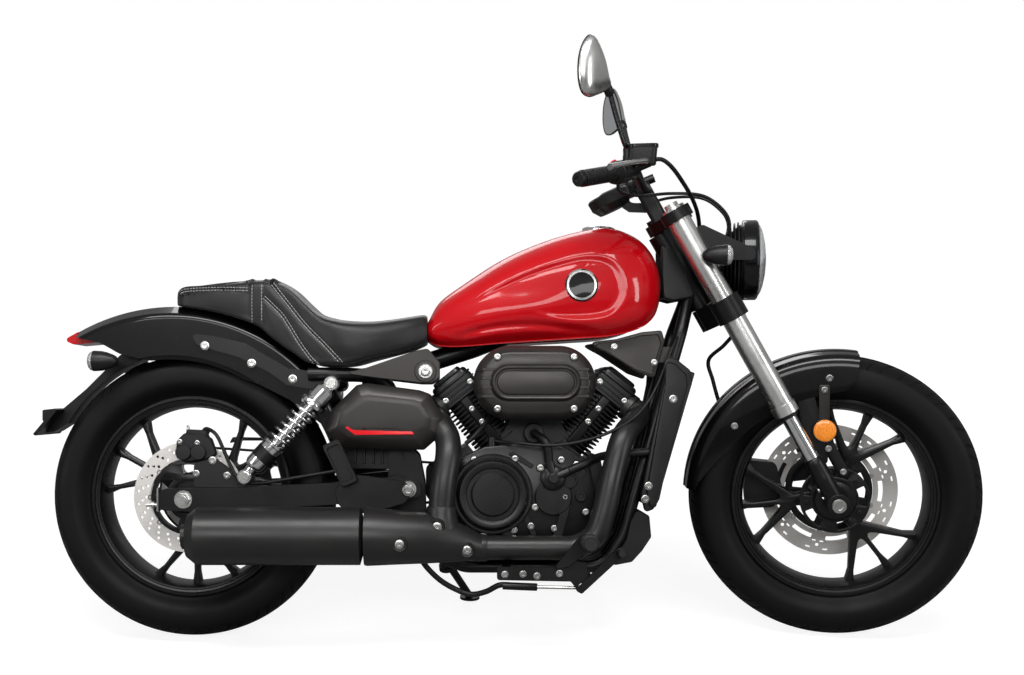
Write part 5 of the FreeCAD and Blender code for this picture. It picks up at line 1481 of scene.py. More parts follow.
@dataclass
class TurnSignals(SubAssembly):
    """A pair of bullet turn signals: black cones, stalks and clear lenses."""

    name: str
    node: str
    body: Body
    x: float
    y: float
    z: float
    forward: float
    stalk_end: float

    def build(self) -> None:
        """Make both lamps of the pair."""
        centre, axis = (self.x, RIGHT * self.y, self.z), (self.forward, 0, 0)
        shell = Form().turned([(0, -38), (5, -37.4), (10, -34), (14, -27), (18.5, -15), (21, -4), (21.8, 8),
                               (22, 14), (21, 14.6), (20, 13), (0, 13)], centre, axis, 48)
        shell.tube([(self.x, RIGHT * (self.y - 14), self.z), (self.x, RIGHT * (self.y - 24), self.z),
                    (self.x, RIGHT * self.stalk_end, self.z)], lambda t: 8.0 if t < 0.4 else 6.2, 24)
        lens = Form().turned([(20.6, 13.4), (20.8, 16), (19.5, 20), (15.5, 23.6), (9, 26), (0, 26.9),
                              (0, 24.5), (9, 23.5), (17, 18.5), (18.5, 13.4)], centre, axis, 48, closed=True)
        bulb = Form().turned(
            [(0, 13), (19, 13.2), (17, 14.5), (8, 15), (7, 20), (4, 22.5), (0, 23)], centre, axis, 32)
        for form, suffix, finish, nodes in (
                (shell, "shells", NYLON, (self.node,)), (lens, "lenses", CLEAR_LENS, ()),
                (bulb, "bulbs", AMBER_ACRYLIC, ())):
            name = f"{self.name}_{suffix}"
            self.shop.fit(name, form.mirror_copy(), self.body, finish, replaces=nodes)


@dataclass
class FenderReflectors(SubAssembly):
    """The amber side reflectors on their straps beside the front mudguard."""

    x: float = 1393.0
    z: float = 468.0
    y: float = 70.0

    def build(self) -> None:
        """Make both straps, lenses and their bolts."""
        inner = -self.y
        strap = Form().merge(sheet_part(
            [rounded([(1380, 566), (1402, 566), (1403, 452), (1381, 452)], 4)], inner - 3, inner, 0.5))
        foot = Form().merge(sheet_part([rounded([
            (1381, 470), (1404, 470), (1414, 440), (1446, 378), (1444, 370), (1430, 366), (1400, 420)], 5)],
            inner - 4, inner, 0.8))
        lens = Form().turned([(0, 13.5), (12, 13.2), (20, 12.2), (23.6, 10.6), (24, 9), (0, 9)],
                             (self.x, inner, self.z), TO_RIGHT, 56)
        rim = Form().turned([(0, 3), (25.5, 3), (26, 4), (26, 11), (25, 12), (24, 11.4), (23.8, 9), (0, 9)],
                            (self.x, inner, self.z), TO_RIGHT, 56)
        bolts = Form()
        for x, z in ((1391, 556), (1402, 428), (1434, 378)):
            bolts.bolt((x, inner - 4, z), TO_RIGHT, 5.5)
        for form, name, finish in (
                (strap, "reflector_straps", GRAPHITE), (foot, "fender_stays", FRAME_BLACK),
                (lens, "amber_reflectors", AMBER_ACRYLIC), (rim, "reflector_rims", NYLON),
                (bolts, "reflector_bolts", ZINC)):
            self.shop.fit(name, form.mirror_copy(), Body.STEERING, finish)


@dataclass
class Hardware(SubAssembly):
    """The plated bolts on the castings, covers and mudguards, and the stripe of the side covers."""

    case_bolts: Outline = (
        (618, 396), (705, 398), (759, 379), (583, 349), (588, 283), (639, 240), (703, 246), (748, 295),
        (739, 255), (804, 396), (836, 386), (812, 317), (789, 250), (856, 285))
    air_box_bolts: Outline = ((665, 506), (665, 614), (825, 506), (825, 614))
    strut_bolts: Outline = ((37, 641), (138, 603), (227, 569))
    shroud_bolts: Outline = ((1044, 526), (991, 340), (984, 312))
    neck_bolts: Outline = ((925, 640), (1012, 606))
    peg_bolts: Outline = ((680, 160), (718, 161), (747, 157), (794, 162), (841, 135))
    collector_bolts: Rows = ((462, 229, -237), (539, 262, -206), (601, 212, -195))
    stripe: Outline = ((342, 467), (478, 464), (492, 451), (364, 450))

    def build(self) -> None:
        """Lay out every bolt and the stripe."""
        right = Form()
        for x, z in self.case_bolts:
            right.bolt((x, -128, z), TO_RIGHT, 5.6)
        for x, z in self.air_box_bolts:
            right.bolt((x, -183, z), TO_RIGHT, 5.2)
        for x, z, y in self.collector_bolts:
            right.turned([(0, -3), (9.5, -3), (9.5, 2), (7, 3), (0, 3)], (x, y, z), TO_RIGHT, 32)
            right.bolt((x, y - 3, z), TO_RIGHT, 6.0)
        self.shop.fit("engine_bolts", right, Body.CHASSIS, ZINC)
        both = Form()
        for places, y, size in (
                (self.strut_bolts, -97.5, 7.5), (self.shroud_bolts, -121, 7.0), (self.neck_bolts, -74, 5.5),
                (self.peg_bolts, -186, 6.0), (((514, 585),), -139, 9.0), (((478, 333),), -160, 9.0)):
            for x, z in places:
                both.bolt((x, y, z), TO_RIGHT, size)
        for x, z, y, size in ((514, 585, -133, 16.0), (478, 333, -157, 13.0)):
            both.turned([(0, 0), (size, 0), (size, 3), (size - 2, 4.5), (size - 5, 4.5), (size - 6, 6),
                         (0, 6)], (x, y, z), TO_RIGHT, 40)
        self.shop.fit("chassis_bolts", both.mirror_copy(), Body.CHASSIS, ZINC)
        stripe = Form().merge(sheet_part([rounded(list(self.stripe), 2)], -143.5, -142.5, 0.2))
        self.shop.fit("side_stripes", stripe.mirror_copy(), Body.CHASSIS, RED_PLASTIC)


@dataclass
class CastWheel(SubAssembly):
    """A cast wheel: a barrel with lips, a hub, and three arms that each part into three spokes."""

    name: str
    node: str
    body: Body
    hub: float
    half: float
    arms: tuple[float, float, float]
    hub_radius: float
    hub_span: tuple[float, float]
    edge: float = 220.0
    seat: float = 206.0
    inner: float = 194.0
    bore: float = 8.6
    split: float = 88.0
    spread: float = 26.0
    root_half: float = 20.0
    spoke_half: float = 5.2
    flare: float = 5.0

    def arm_outline(self) -> list[tuple[float, float]]:
        """One arm with its three spokes, as (outwards, across) points.

        Returns:
            The outline's points.
        """
        reach, half, flare = self.inner + 3, self.spoke_half, self.flare
        start = Vector((self.split, 0))
        tip = Vector((math.cos(math.radians(self.spread)), math.sin(math.radians(self.spread)))) * reach
        run = (tip - start).normalized()
        side = Vector((-run.y, run.x))
        fork = start + run * (half * (1 + side.y) / run.y) - side * half
        upper = [Vector((self.hub_radius - 8, self.root_half)), Vector((self.split - 8, half + 7)),
                 tip + side * half - run * 26, tip + side * (half + flare) + run * 6,
                 tip - side * (half + flare) + run * 6, tip - side * half - run * 26, fork,
                 Vector((reach - 26, half)), Vector((reach + 6, half + flare))]
        line = [(p.x, p.y) for p in upper] + [(p.x, -p.y) for p in reversed(upper)]
        return rounded(line, 11, 5)

    def build(self) -> None:
        """Make the wheel."""
        h, s, i = self.half, self.seat, self.inner
        barrel = [
            (self.edge - 2, -h), (self.edge, -h + 1.5), (self.edge, -h + 4), (s + 8, -h + 7), (s, -h + 9),
            (s - 2, -h + 26), (i + 5, -16), (i + 5, 16), (s - 2, h - 26), (s, h - 9), (s + 8, h - 7),
            (self.edge, h - 4), (self.edge, h - 1.5), (self.edge - 2, h), (self.edge - 7, h),
            (self.edge - 9, h - 2.5), (s + 1, h - 3.5), (s - 1, h - 1), (s - 4.5, h - 1.5), (s - 6, h - 5),
            (i, 20), (i, -20), (s - 6, -h + 5), (s - 4.5, -h + 1.5), (s - 1, -h + 1), (s + 1, -h + 3.5),
            (self.edge - 9, -h + 2.5), (self.edge - 7, -h)]
        centre = (self.hub, 0, WHEEL_RADIUS)
        wheel = Form().turned(barrel, centre, (0, 1, 0), 144, closed=True)
        low, high = self.hub_span
        r = self.hub_radius
        wheel.turned([(self.bore, low), (r - 14, low), (r - 12, low + 3), (r - 3, low + 3), (r, low + 6),
                      (r, high - 3), (r - 3, high), (self.bore, high)], centre, (0, 1, 0), 72, closed=True)
        for degrees in self.arms:
            turn = math.radians(degrees)
            cos, sin = math.cos(turn), math.sin(turn)
            outline = [(self.hub + cos * out - sin * across, WHEEL_RADIUS + sin * out + cos * across)
                       for out, across in self.arm_outline()]
            wheel.merge(sheet_part([outline], -17, 17, 3.2))
        self.shop.fit(self.name, wheel, self.body, RIM_BLACK, replaces=(self.node,), crease=32)


@dataclass
class HubCover(SubAssembly):
    """The slotted cover on the right of the front hub."""

    radius: float = 74.0
    low: float = -57.0
    high: float = -50.0
    windows: int = 5

    def build(self) -> None:
        """Make the cover and its bolts."""
        hub = WHEELBASE
        lines = [circle(hub, WHEEL_RADIUS, self.radius, 96)]
        lines += [kidney(hub, 59, 360 / self.windows * k + 8, 40, 17) for k in range(self.windows)]
        cover = Form().merge(sheet_part(lines, self.low, self.high, 1.2))
        cover.turned([(40, 8), (42, 8), (44, 5), (44, 0), (26, 0), (26, 9), (38, 9)],
                     (hub, self.low, WHEEL_RADIUS), TO_RIGHT, 72, closed=True)
        for degrees in (-52, 68, 188):
            cover.merge(sheet_part([kidney(hub, 59, degrees, 12, 30)], -50, -16, 1.0))
        self.shop.fit("hub_cover", cover, Body.FRONT_WHEEL, RIM_BLACK)
        bolts = Form()
        for k in range(self.windows):
            angle = math.radians(360 / self.windows * (k + 0.5) + 8)
            bolts.bolt(
                (hub + 59 * math.cos(angle), self.low, WHEEL_RADIUS + 59 * math.sin(angle)), TO_RIGHT, 4.5)
        self.shop.fit("hub_bolts", bolts, Body.FRONT_WHEEL, FRAME_BLACK)


@dataclass
class FrontFender(SubAssembly):
    """The front mudguard: a crowned shell with deep skirts and a bead, on its two stays."""

    crown: float = 324.5
    half: float = 70.0
    wall: float = 3.0
    span: tuple[float, float] = (82.0, 177.0)
    skirt: Outline = (
        (80, 60), (86, 84), (96, 92), (112, 94), (128, 92), (142, 84), (156, 72), (168, 46), (178, 20))
    drops: Outline = ((96, 70), (34, 70), (20, 68), (11, 62), (7, 55), (6.2, 53), (3.6, 38), (1.6, 21),
                      (-0.8, 18.5), (-1.2, 0))
    screws: Outline = ((1401, 581), (1204, 474))

    def ring(self, degrees: float) -> list[Vector]:
        """The shell's cross-section at an angle up from straight ahead.

        Args:
            degrees: The angle.

        Returns:
            The ring's points.
        """
        depth = next(d1 + (d2 - d1) * (degrees - a1) / (a2 - a1)
                     for (a1, d1), (a2, d2) in zip(self.skirt, self.skirt[1:]) if degrees <= a2)
        angle = math.radians(degrees)
        across = [(drop, y) for drop, y in self.drops] + [(drop, -y) for drop, y in reversed(self.drops[:-1])]
        outer = [(min(drop, depth), y) for drop, y in across]
        inner = [
            (min(drop + self.wall, depth), y * (1 - self.wall / self.half)) for drop, y in reversed(across)]
        ring = []
        for drop, y in outer + inner:
            r = self.crown - drop
            ring.append(Vector((WHEELBASE + r * math.cos(angle), y, WHEEL_RADIUS + r * math.sin(angle))))
        return ring

    def build(self) -> None:
        """Make the shell, its stays and screws."""
        first, last = self.span
        count = 64
        shell = Form().skin([self.ring(first + (last - first) * k / count) for k in range(count + 1)])
        self.shop.fit(
            "front_mudguard", shell, Body.STEERING, GLOSS_BLACK, replaces=("front_fender",), crease=40)
        stays = Form().merge(sheet_part([rounded([
            (1330, 566), (1362, 570), (1402, 440), (1402, 396), (1380, 386), (1358, 404)], 10)],
            -self.half + 0.2, -self.half + 3.5, 0.6))
        stays.turned([(0, 0), (8, 0), (8, 24), (0, 24)], (1380, -self.half, 403), TO_RIGHT, 24)
        self.shop.fit("mudguard_stays", stays.mirror_copy(), Body.STEERING, FRAME_BLACK)
        screws = Form()
        for x, z in self.screws:
            screws.bolt((x, -self.half, z), TO_RIGHT, 6.0)
        self.shop.fit("mudguard_screws", screws.mirror_copy(), Body.STEERING, ZINC)


def bore_place(front: bool, along: float, across: float, y: float = 0.0) -> Vector:
    """A point by its place on a cylinder.

    Args:
        front: Whether it is the front cylinder.
        along: Distance from the crank up the bore.
        across: Distance outwards from the bore's middle.
        y: Distance to the left.

    Returns:
        The point.
    """
    sign = 1.0 if front else -1.0
    cos, sin = math.cos(CYLINDER_TILT), math.sin(CYLINDER_TILT)
    return Vector((CRANK_X + sign * (along * sin + across * cos), y, CRANK_Z + along * cos - across * sin))


def bore_block(front: bool, steps: Rows) -> Form:
    """A rounded block along a cylinder.

    Args:
        front: Whether it is the front cylinder.
        steps: Rows of distance up the bore, half width, half depth and corner radius.

    Returns:
        The block.
    """
    rings = []
    for along, half, half_y, corner in steps:
        corners = rounded([(half, half_y), (-half, half_y), (-half, -half_y), (half, -half_y)], corner, 5)
        rings.append([bore_place(front, along, across, y) for across, y in corners])
    return Form().skin(rings)


@dataclass
class Cylinders(SubAssembly):
    """Both finned cylinders with their heads and ribbed covers."""

    fin_pitch: float = 9.5
    fin: float = 3.2
    start: float = 118.0
    head: float = 250.0
    top: float = 292.0
    end: float = 316.0

    def build(self) -> None:
        """Make the cylinders, covers and their bolts."""
        barrels, covers, bolts = Form(), Form(), Form()
        valley = [(664, 420), (842, 420), (806, 486), (698, 486)]
        barrels.add(pressed(valley, 8, ((-60, 3), (-57, 0), (40, 0), (44, 3))))
        barrels.turned([(0, 56), (21, 56), (22, 60), (22, 82), (20, 84), (12, 84), (11, 81), (0, 81)],
                       (749, 0, 452), TO_RIGHT, 40)
        for front in (True, False):
            blocks = [((self.start, 38, 50, 28), (self.head, 38, 50, 28)),
                      ((self.head, 45, 60, 14), (self.head + 3, 48, 63, 14), (self.top - 3, 48, 63, 14),
                       (self.top, 46, 61, 14)),
                      ((self.start + 6, 9, 66, 4), (self.start + 8, 11, 67, 4), (self.head, 11, 67, 4))]
            for low in (self.head + 9, self.head + 19, self.head + 29):
                blocks.append(((low, 50, 65, 14), (low + 0.8, 51, 66, 14), (low + 3, 51, 66, 14),
                               (low + 3.8, 50, 65, 14)))
            place = self.start + 9
            while place < self.head - 4:
                blocks.append(((place, 49, 61, 22), (place + 0.7, 50, 62, 22),
                               (place + self.fin - 0.7, 50, 62, 22), (place + self.fin, 49, 61, 22)))
                place += self.fin_pitch
            for steps in blocks:
                barrels.add(bore_block(front, steps))
            for steps in (((self.top, 49, 63, 20), (self.top + 1, 50, 64, 20), (self.top + 4, 50, 64, 20),
                           (self.top + 5, 49, 63, 20)),
                          ((self.top + 5, 46, 60, 20), (self.end - 12, 45, 59, 20),
                           (self.end - 8, 41, 55, 18)),
                          ((self.end - 8, 36, 47, 14), (self.end - 2, 35, 45, 14), (self.end, 32, 42, 12))):
                covers.add(bore_block(front, steps))
            for along, across in ((222, 0), (186, 0), (271, 34), (271, -34)):
                bolts.bolt(bore_place(front, along, across, -67 if not across else -65.5), TO_RIGHT, 5.0)
        bolts.mirror_copy()
        for form, name, finish, nodes in (
                (barrels, "finned_barrels", ENGINE_BLACK, ("cylinders",)),
                (covers, "rocker_covers", COVER_BLACK, ("head_covers",)), (bolts, "head_bolts", ZINC, ())):
            self.shop.fit(name, form, Body.CHASSIS, finish, replaces=nodes, crease=30)


@dataclass
class AirBox(SubAssembly):
    """The oval air box: a bevelled lid with ribs at both ends and a framed bare panel."""

    x: float = 745.0
    z: float = 560.0
    back: float = -98.0
    steps: Rows = (
        (236, 136, 0), (250, 149, -4), (258, 157, -24), (258, 157, -58), (255, 154, -64), (228, 128, -81),
        (222, 122, -82.5), (192, 80, -82.5), (188, 76, -84), (180, 68, -92), (176, 64, -92.5),
        (171, 59, -91.5), (168, 56, -88), (164, 52, -88), (161, 49, -89), (159, 47, -90.5), (154, 42, -91))

    def oval(self, width: float, height: float, y: float) -> list[Vector]:
        """The air box's outline at one depth.

        Args:
            width: The oval's width.
            height: Its height.
            y: Its depth.

        Returns:
            The ring's points.
        """
        r, half = height / 2, (width - height) / 2
        ring = []
        for k in range(72):
            angle = math.tau * (k + 0.5) / 72
            shift = half if math.cos(angle) > 0 else -half
            ring.append(Vector((
                self.x + shift + r * math.cos(angle), self.back + y, self.z + r * math.sin(angle))))
        return ring

    def build(self) -> None:
        """Make the box with its ribs and bosses."""
        box = Form().skin([self.oval(*step) for step in self.steps])
        for level in (-28, -9.5, 9.5, 28):
            for side in (-1, 1):
                middle, z = self.x + side * 104, self.z + level
                block = [
                    (middle - 17, z - 4), (middle + 17, z - 4), (middle + 17, z + 4), (middle - 17, z + 4)]
                rings = []
                for y, out, thin in ((-60, 0, 0), (-74, -1, 0), (-82, -8, 0.6), (-84, -10, 1.6)):
                    rings.append([(x + (side * out if (x - middle) * side > 0 else 0), self.back + y,
                                   h + (thin if h < z else -thin)) for x, h in block])
                box.skin(rings)
        for side in (-1, 1):
            for level in (-54, 54):
                box.turned([(0, 70), (10, 70), (9, 84), (8, 85.2), (0, 85.2)],
                           (self.x + side * 80, self.back, self.z + level), TO_RIGHT, 32)
        self.shop.fit("air_box_lid", box, Body.CHASSIS, GRAPHITE, replaces=("air_box",), crease=28)


@dataclass
class EngineCover(SubAssembly):
    """The right engine cover: stepped base, round clutch lid, water pump and a boss for each bolt."""

    face: float = -92.0
    clutch: tuple[float, float] = (657.0, 323.0)
    pump: tuple[float, float] = (786.0, 358.0)
    outline: Outline = ((572, 300), (574, 392), (640, 424), (720, 432), (800, 428), (862, 396), (878, 330),
                        (872, 262), (820, 204), (660, 200), (592, 232))

    def build(self) -> None:
        """Make the cover and its clutch arm."""
        out = TO_RIGHT
        cover = pressed(self.outline, 26, ((-92, 0), (-116, 0), (-120, 1.5), (-122, 5)))
        cx, cz = self.clutch
        cover.turned([(0, 26), (84, 26), (86, 30), (86, 39), (83, 42), (78, 42), (76, 44), (75, 48), (70, 54),
                      (60, 54.5), (57, 53), (55, 49), (47, 49), (46, 54), (43, 56.5), (0, 57.5)],
                     (cx, self.face, cz), out, 96)
        for x, z, radius, high in (
                (693, 236, 15, 38), (822, 352, 17, 40), (610, 252, 12, 36), (846, 318, 12, 37)):
            cover.turned([(0, 26), (radius, 26), (radius, high - 2), (radius - 2, high), (radius - 5, high),
                          (radius - 6, high - 3), (0, high - 3)], (x, self.face, z), out, 32)
        for web in (((742, 232), (752, 236), (722, 300), (712, 296)),
                    ((850, 380), (858, 372), (820, 330), (812, 338)),
                    ((690, 410), (700, 414), (746, 386), (740, 378))):
            cover.add(pressed(web, 3, ((-118, 0), (-127, 0), (-128, 1))))
        cover.turned([(0, 26), (40, 26), (40, 36), (37, 38.5), (0, 38.5)], (787, self.face, 317), out, 72)
        px, pz = self.pump
        cover.turned([(0, 26), (28, 26), (27, 43), (24, 46), (19, 49), (12, 51), (11, 59), (9, 60.5),
                      (0, 60.5)], (px, self.face, pz), out, 64)
        for x, z in Hardware.case_bolts:
            cover.turned([(0, 20), (9, 20), (8.5, 34.5), (7.5, 36), (0, 36)], (x, self.face, z), out, 24)
        rib = [(806, 300), (826, 306), (800, 214), (780, 214)]
        cover.add(pressed(rib, 5, ((-118, 0), (-127, 0), (-129, 1.5))))
        for degrees, reach in ((104, 34), (24, 36)):
            angle = math.radians(degrees)
            middle = Vector((px, -134, pz))
            run = Vector((math.cos(angle), 0, math.sin(angle)))
            cover.tube([middle, middle + run * (reach - 2), middle + run * reach], 10.5, 24)
        cover.tube([(656, -110, 408), (656, -110, 444)], 8, 24)
        self.shop.fit(
            "engine_side_cover", cover, Body.CHASSIS, COVER_BLACK, replaces=("clutch_cover",), crease=30)


@dataclass
class Collector(SubAssembly):
    """The exhaust's collector drum with its sockets."""

    stations: Rows = (
        (388, 299, 181, -193, 57), (393, 301, 179, -192, 58), (455, 294, 181, -186, 53),
        (520, 288, 182, -176, 46), (580, 268, 184, -166, 37), (630, 241, 186, -157, 28),
        (636, 239, 187, -156, 26))
    front_route: Rows = (
        (936, -128, 446), (912, -146, 372), (893, -152, 292), (872, -153, 238), (832, -154, 214),
        (780, -155, 212), (640, -156, 212), (620, -156, 212))
    rear_route: Rows = (
        (547, -100, 468), (561, -122, 440), (562, -144, 404), (553, -157, 352), (548, -159, 300),
        (546, -160, 270))

    def build(self) -> None:
        """Make the drum and its sockets."""
        rings = []
        for x, top, bottom, y, half in self.stations:
            middle, rise = (top + bottom) / 2, (top - bottom) / 2
            rings.append([(x, y + half * math.cos(a), middle + rise * math.sin(a))
                          for a in (math.tau * k / 64 for k in range(64))])
        drum = Form().skin(rings)
        drum.turned([(0, 0), (44, 0), (41, 14), (35, 30), (31.5, 44), (31, 56), (30, 58), (0, 58)],
                    (548, -162, 242), (0.0, 0.0, 1), 56)
        drum.turned([(0, 0), (28.5, 0), (28.5, 34), (27.5, 36), (0, 36)], (608, -156, 212), (1, 0, 0), 56)
        for x, z, y in Hardware.collector_bolts:
            drum.turned([(10, -6), (17, -6), (16.5, -1), (14, 1.5), (11, 0.5), (10, -3)], (x, y, z), TO_RIGHT,
                        40, closed=True)
        pipes = Form()
        for front, route in ((True, self.front_route), (False, self.rear_route)):
            reach = 80 if front else 74
            port = [bore_place(front, 268, 50, -38), bore_place(front, 268, reach, -48 if front else -44)]
            pipes.tube(smooth_path(port + list(route)), 25.5 if front else 27.5, 32)
            pipes.tube([port[0] + (port[0] - port[1]) * 0.1, port[0] + (port[1] - port[0]) * 0.35], 31, 32)
        self.shop.fit("header_pipes", pipes, Body.CHASSIS, EXHAUST_BLACK, replaces=("exhaust_headers",))
        self.shop.fit(
            "collector_drum", drum, Body.CHASSIS, EXHAUST_BLACK, replaces=("exhaust_collector",), crease=40)


@dataclass
class SideCovers(SubAssembly):
    """The graphite side covers, the plates above them, the covers at the neck and the radiator's guards."""

    pillow: Outline = ((300, 455), (312, 502), (367, 556), (390, 560), (502, 545), (524, 537), (551, 485),
                       (545, 447), (511, 417), (331, 424))
    plate: Outline = ((342, 580), (385, 592), (496, 630), (519, 634), (545, 604), (545, 571), (528, 560),
                      (502, 560), (417, 570))
    neck: Outline = (
        (867, 650), (930, 657), (985, 672), (1028, 676), (1035, 653), (1013, 571), (975, 584), (910, 627))
    shroud: Outline = (
        (1034, 872), (1062, 850), (1100, 778), (1112, 752), (1060, 742), (1038, 748), (1034, 800))
    guard: Outline = (
        (1030, 618), (1052, 612), (1082, 588), (1086, 560), (1004, 290), (985, 282), (976, 320), (1026, 560))
    belly: Outline = ((974, 288), (1000, 272), (1004, 226), (984, 196), (962, 172), (925, 165), (914, 170),
                      (930, 186), (950, 222), (960, 262))

    def build(self) -> None:
        """Make the panels on both sides."""
        sides = pressed(self.pillow, 10, (
            (-119, 2), (-125, 0), (-129, 3), (-141, 22), (-143, 27), (-143.5, 40)))
        sides.add(pressed(self.plate, 9, ((-122.5, 0), (-129, 0), (-130.5, 2))))
        sides.add(pressed(self.neck, 7, ((-66, 0), (-72, 0), (-74, 2), (-74.5, 8), (-72.5, 10), (-72, 30))))
        sides.turned([(0, 6), (24, 6), (24, 9), (22, 10.5), (0, 10.5)], (514, -122.5, 585), TO_RIGHT, 48)
        for x, y, z, length, radius in ((462, -62, 430, 58, 7), (446, -62, 505, 58, 7),
                                        (470, -74, 590, 50, 7), (1040, -40, 630, 26, 6)):
            sides.turned([(0, 0), (radius, 0), (radius, length), (0, length)], (x, y, z), TO_RIGHT, 20)
        sides.add(pressed(((1004, 606), (1004, 640), (1050, 640), (1050, 606)), 4, ((-62, 0), (-66.5, 0))))
        guards = pressed(self.guard, 10, (
            (-106, 0), (-114, 0), (-116, 2), (-117, 10), (-121, 13), (-121.5, 20)))
        shrouds = pressed(self.shroud, 8, ((-29, 0), (-34, 0), (-37, 4), (-37.3, 10)))
        shrouds.turned([(0, 0), (7, 0), (7, 10), (0, 10)], (1084, -20, 800), TO_RIGHT, 20)
        for form, name, finish, nodes in (
                (sides, "side_cover_set", GRAPHITE, ("side_panels",)),
                (guards, "radiator_guards", NYLON, ("radiator_shrouds",)),
                (shrouds, "neck_shrouds", NYLON, ())):
            self.shop.fit(name, form.mirror_copy(), Body.CHASSIS, finish, replaces=nodes, crease=28)
        belly = pressed(self.belly, 8, ((84, 3), (81, 0), (-81, 0), (-84, 3)))
        self.shop.fit("belly_guard", belly, Body.CHASSIS, NYLON)


@dataclass
class BatteryBox(SubAssembly):
    """The battery's box under the seat, with the inner mudguard ahead of the rear tyre."""

    outline: Outline = ((324, 372), (332, 436), (368, 448), (374, 566), (430, 566), (444, 540), (444, 372))
    near: float = 327.0
    wall: float = 3.5
    half: float = 78.0

    def build(self) -> None:
        """Make the box, its ribs and the guard."""
        box = pressed(self.outline, 6, ((-56, 2), (-54, 0), (54, 0), (56, 2)))
        for x in (356, 376, 396, 416):
            box.add(pressed(
                ((x, 384), (x + 6, 384), (x + 6, 440), (x, 440)), 2, ((-60, 1), (-58, 0), (58, 0), (60, 1))))
        rings = []
        for k in range(21):
            angle = math.radians(7 + 34 * k / 20)
            rings.append([(r * math.cos(angle), y, WHEEL_RADIUS + r * math.sin(angle)) for r, y in (
                (self.near, -self.half), (self.near, self.half), (self.near + self.wall, self.half),
                (self.near + self.wall, -self.half))])
        box.skin(rings)
        self.shop.fit("battery_housing", box, Body.CHASSIS, FRAME_BLACK)


@dataclass
class Lines(SubAssembly):
    """Hoses and cables: coolant hoses, clutch cable, front brake hose and switch cables."""

    hose: float = 9.0
    cable: float = 3.5
    brake: float = 4.5

    def build(self) -> None:
        """Lay every line between its two ends."""
        engine = Form()
        engine.tube(smooth_path([(778, -134, 391), (772, -134, 431), (752, -112, 452), (749, -98, 452),
                                 (749, -80, 452)]), self.hose, 20)
        engine.tube(smooth_path([(819, -134, 373), (853, -126, 387), (905, -92, 404), (1022, -90, 412)]),
                    self.hose, 20)
        engine.tube(smooth_path([
            (1070, -55, 668), (1046, -84, 630), (1012, -100, 552), (968, -124, 494), (905, -146, 456),
            (833, -152, 434), (772, -155, 428), (715, -142, 432), (676, -116, 434), (658, -110, 438)]),
            self.cable, 12)
        engine.tube(smooth_path([
            (500, -150, 205), (512, -146, 176), (545, -142, 142), (583, -141, 120), (613, -144, 112),
            (642, -158, 120), (668, -176, 136), (690, -182, 138)]), 6.0, 16)
        engine.tube(smooth_path([
            (600, -110, 430), (618, -108, 446), (640, -96, 470), (656, -78, 492), (662, -50, 500)]), 5.0, 14)
        self.shop.fit("engine_lines", engine, Body.CHASSIS, SOFT_RUBBER)
        steered = Form()
        steered.tube(smooth_path([
            (1010, -231, 1034), (1046, -226, 1040), (1082, -180, 1004), (1118, -70, 940),
            steer_place(600, 56, 34), steer_place(540, 62, 58), steer_place(480, 84, 54),
            steer_place(432, 66, 58), steer_place(404, 8, 68), (1150, 83, 607), (1160, 84, 560),
            (1178, 84, 500), (1205, 82, 440), (1240, 78, 390), (1254, 68, 362)]), self.brake, 14)
        for side in (RIGHT, LEFT):
            steered.tube(smooth_path([
                (958, side * 246, 1006), (960, side * 236, 978), (1000, side * 170, 972),
                (1060, side * 84, 980), (1128, side * 52, 976), (1172, side * 44, 946),
                (1188, side * 40, 912), (1178, side * 32, 868)]), self.cable, 12)
        self.shop.fit("bar_lines", steered, Body.STEERING, SOFT_RUBBER)


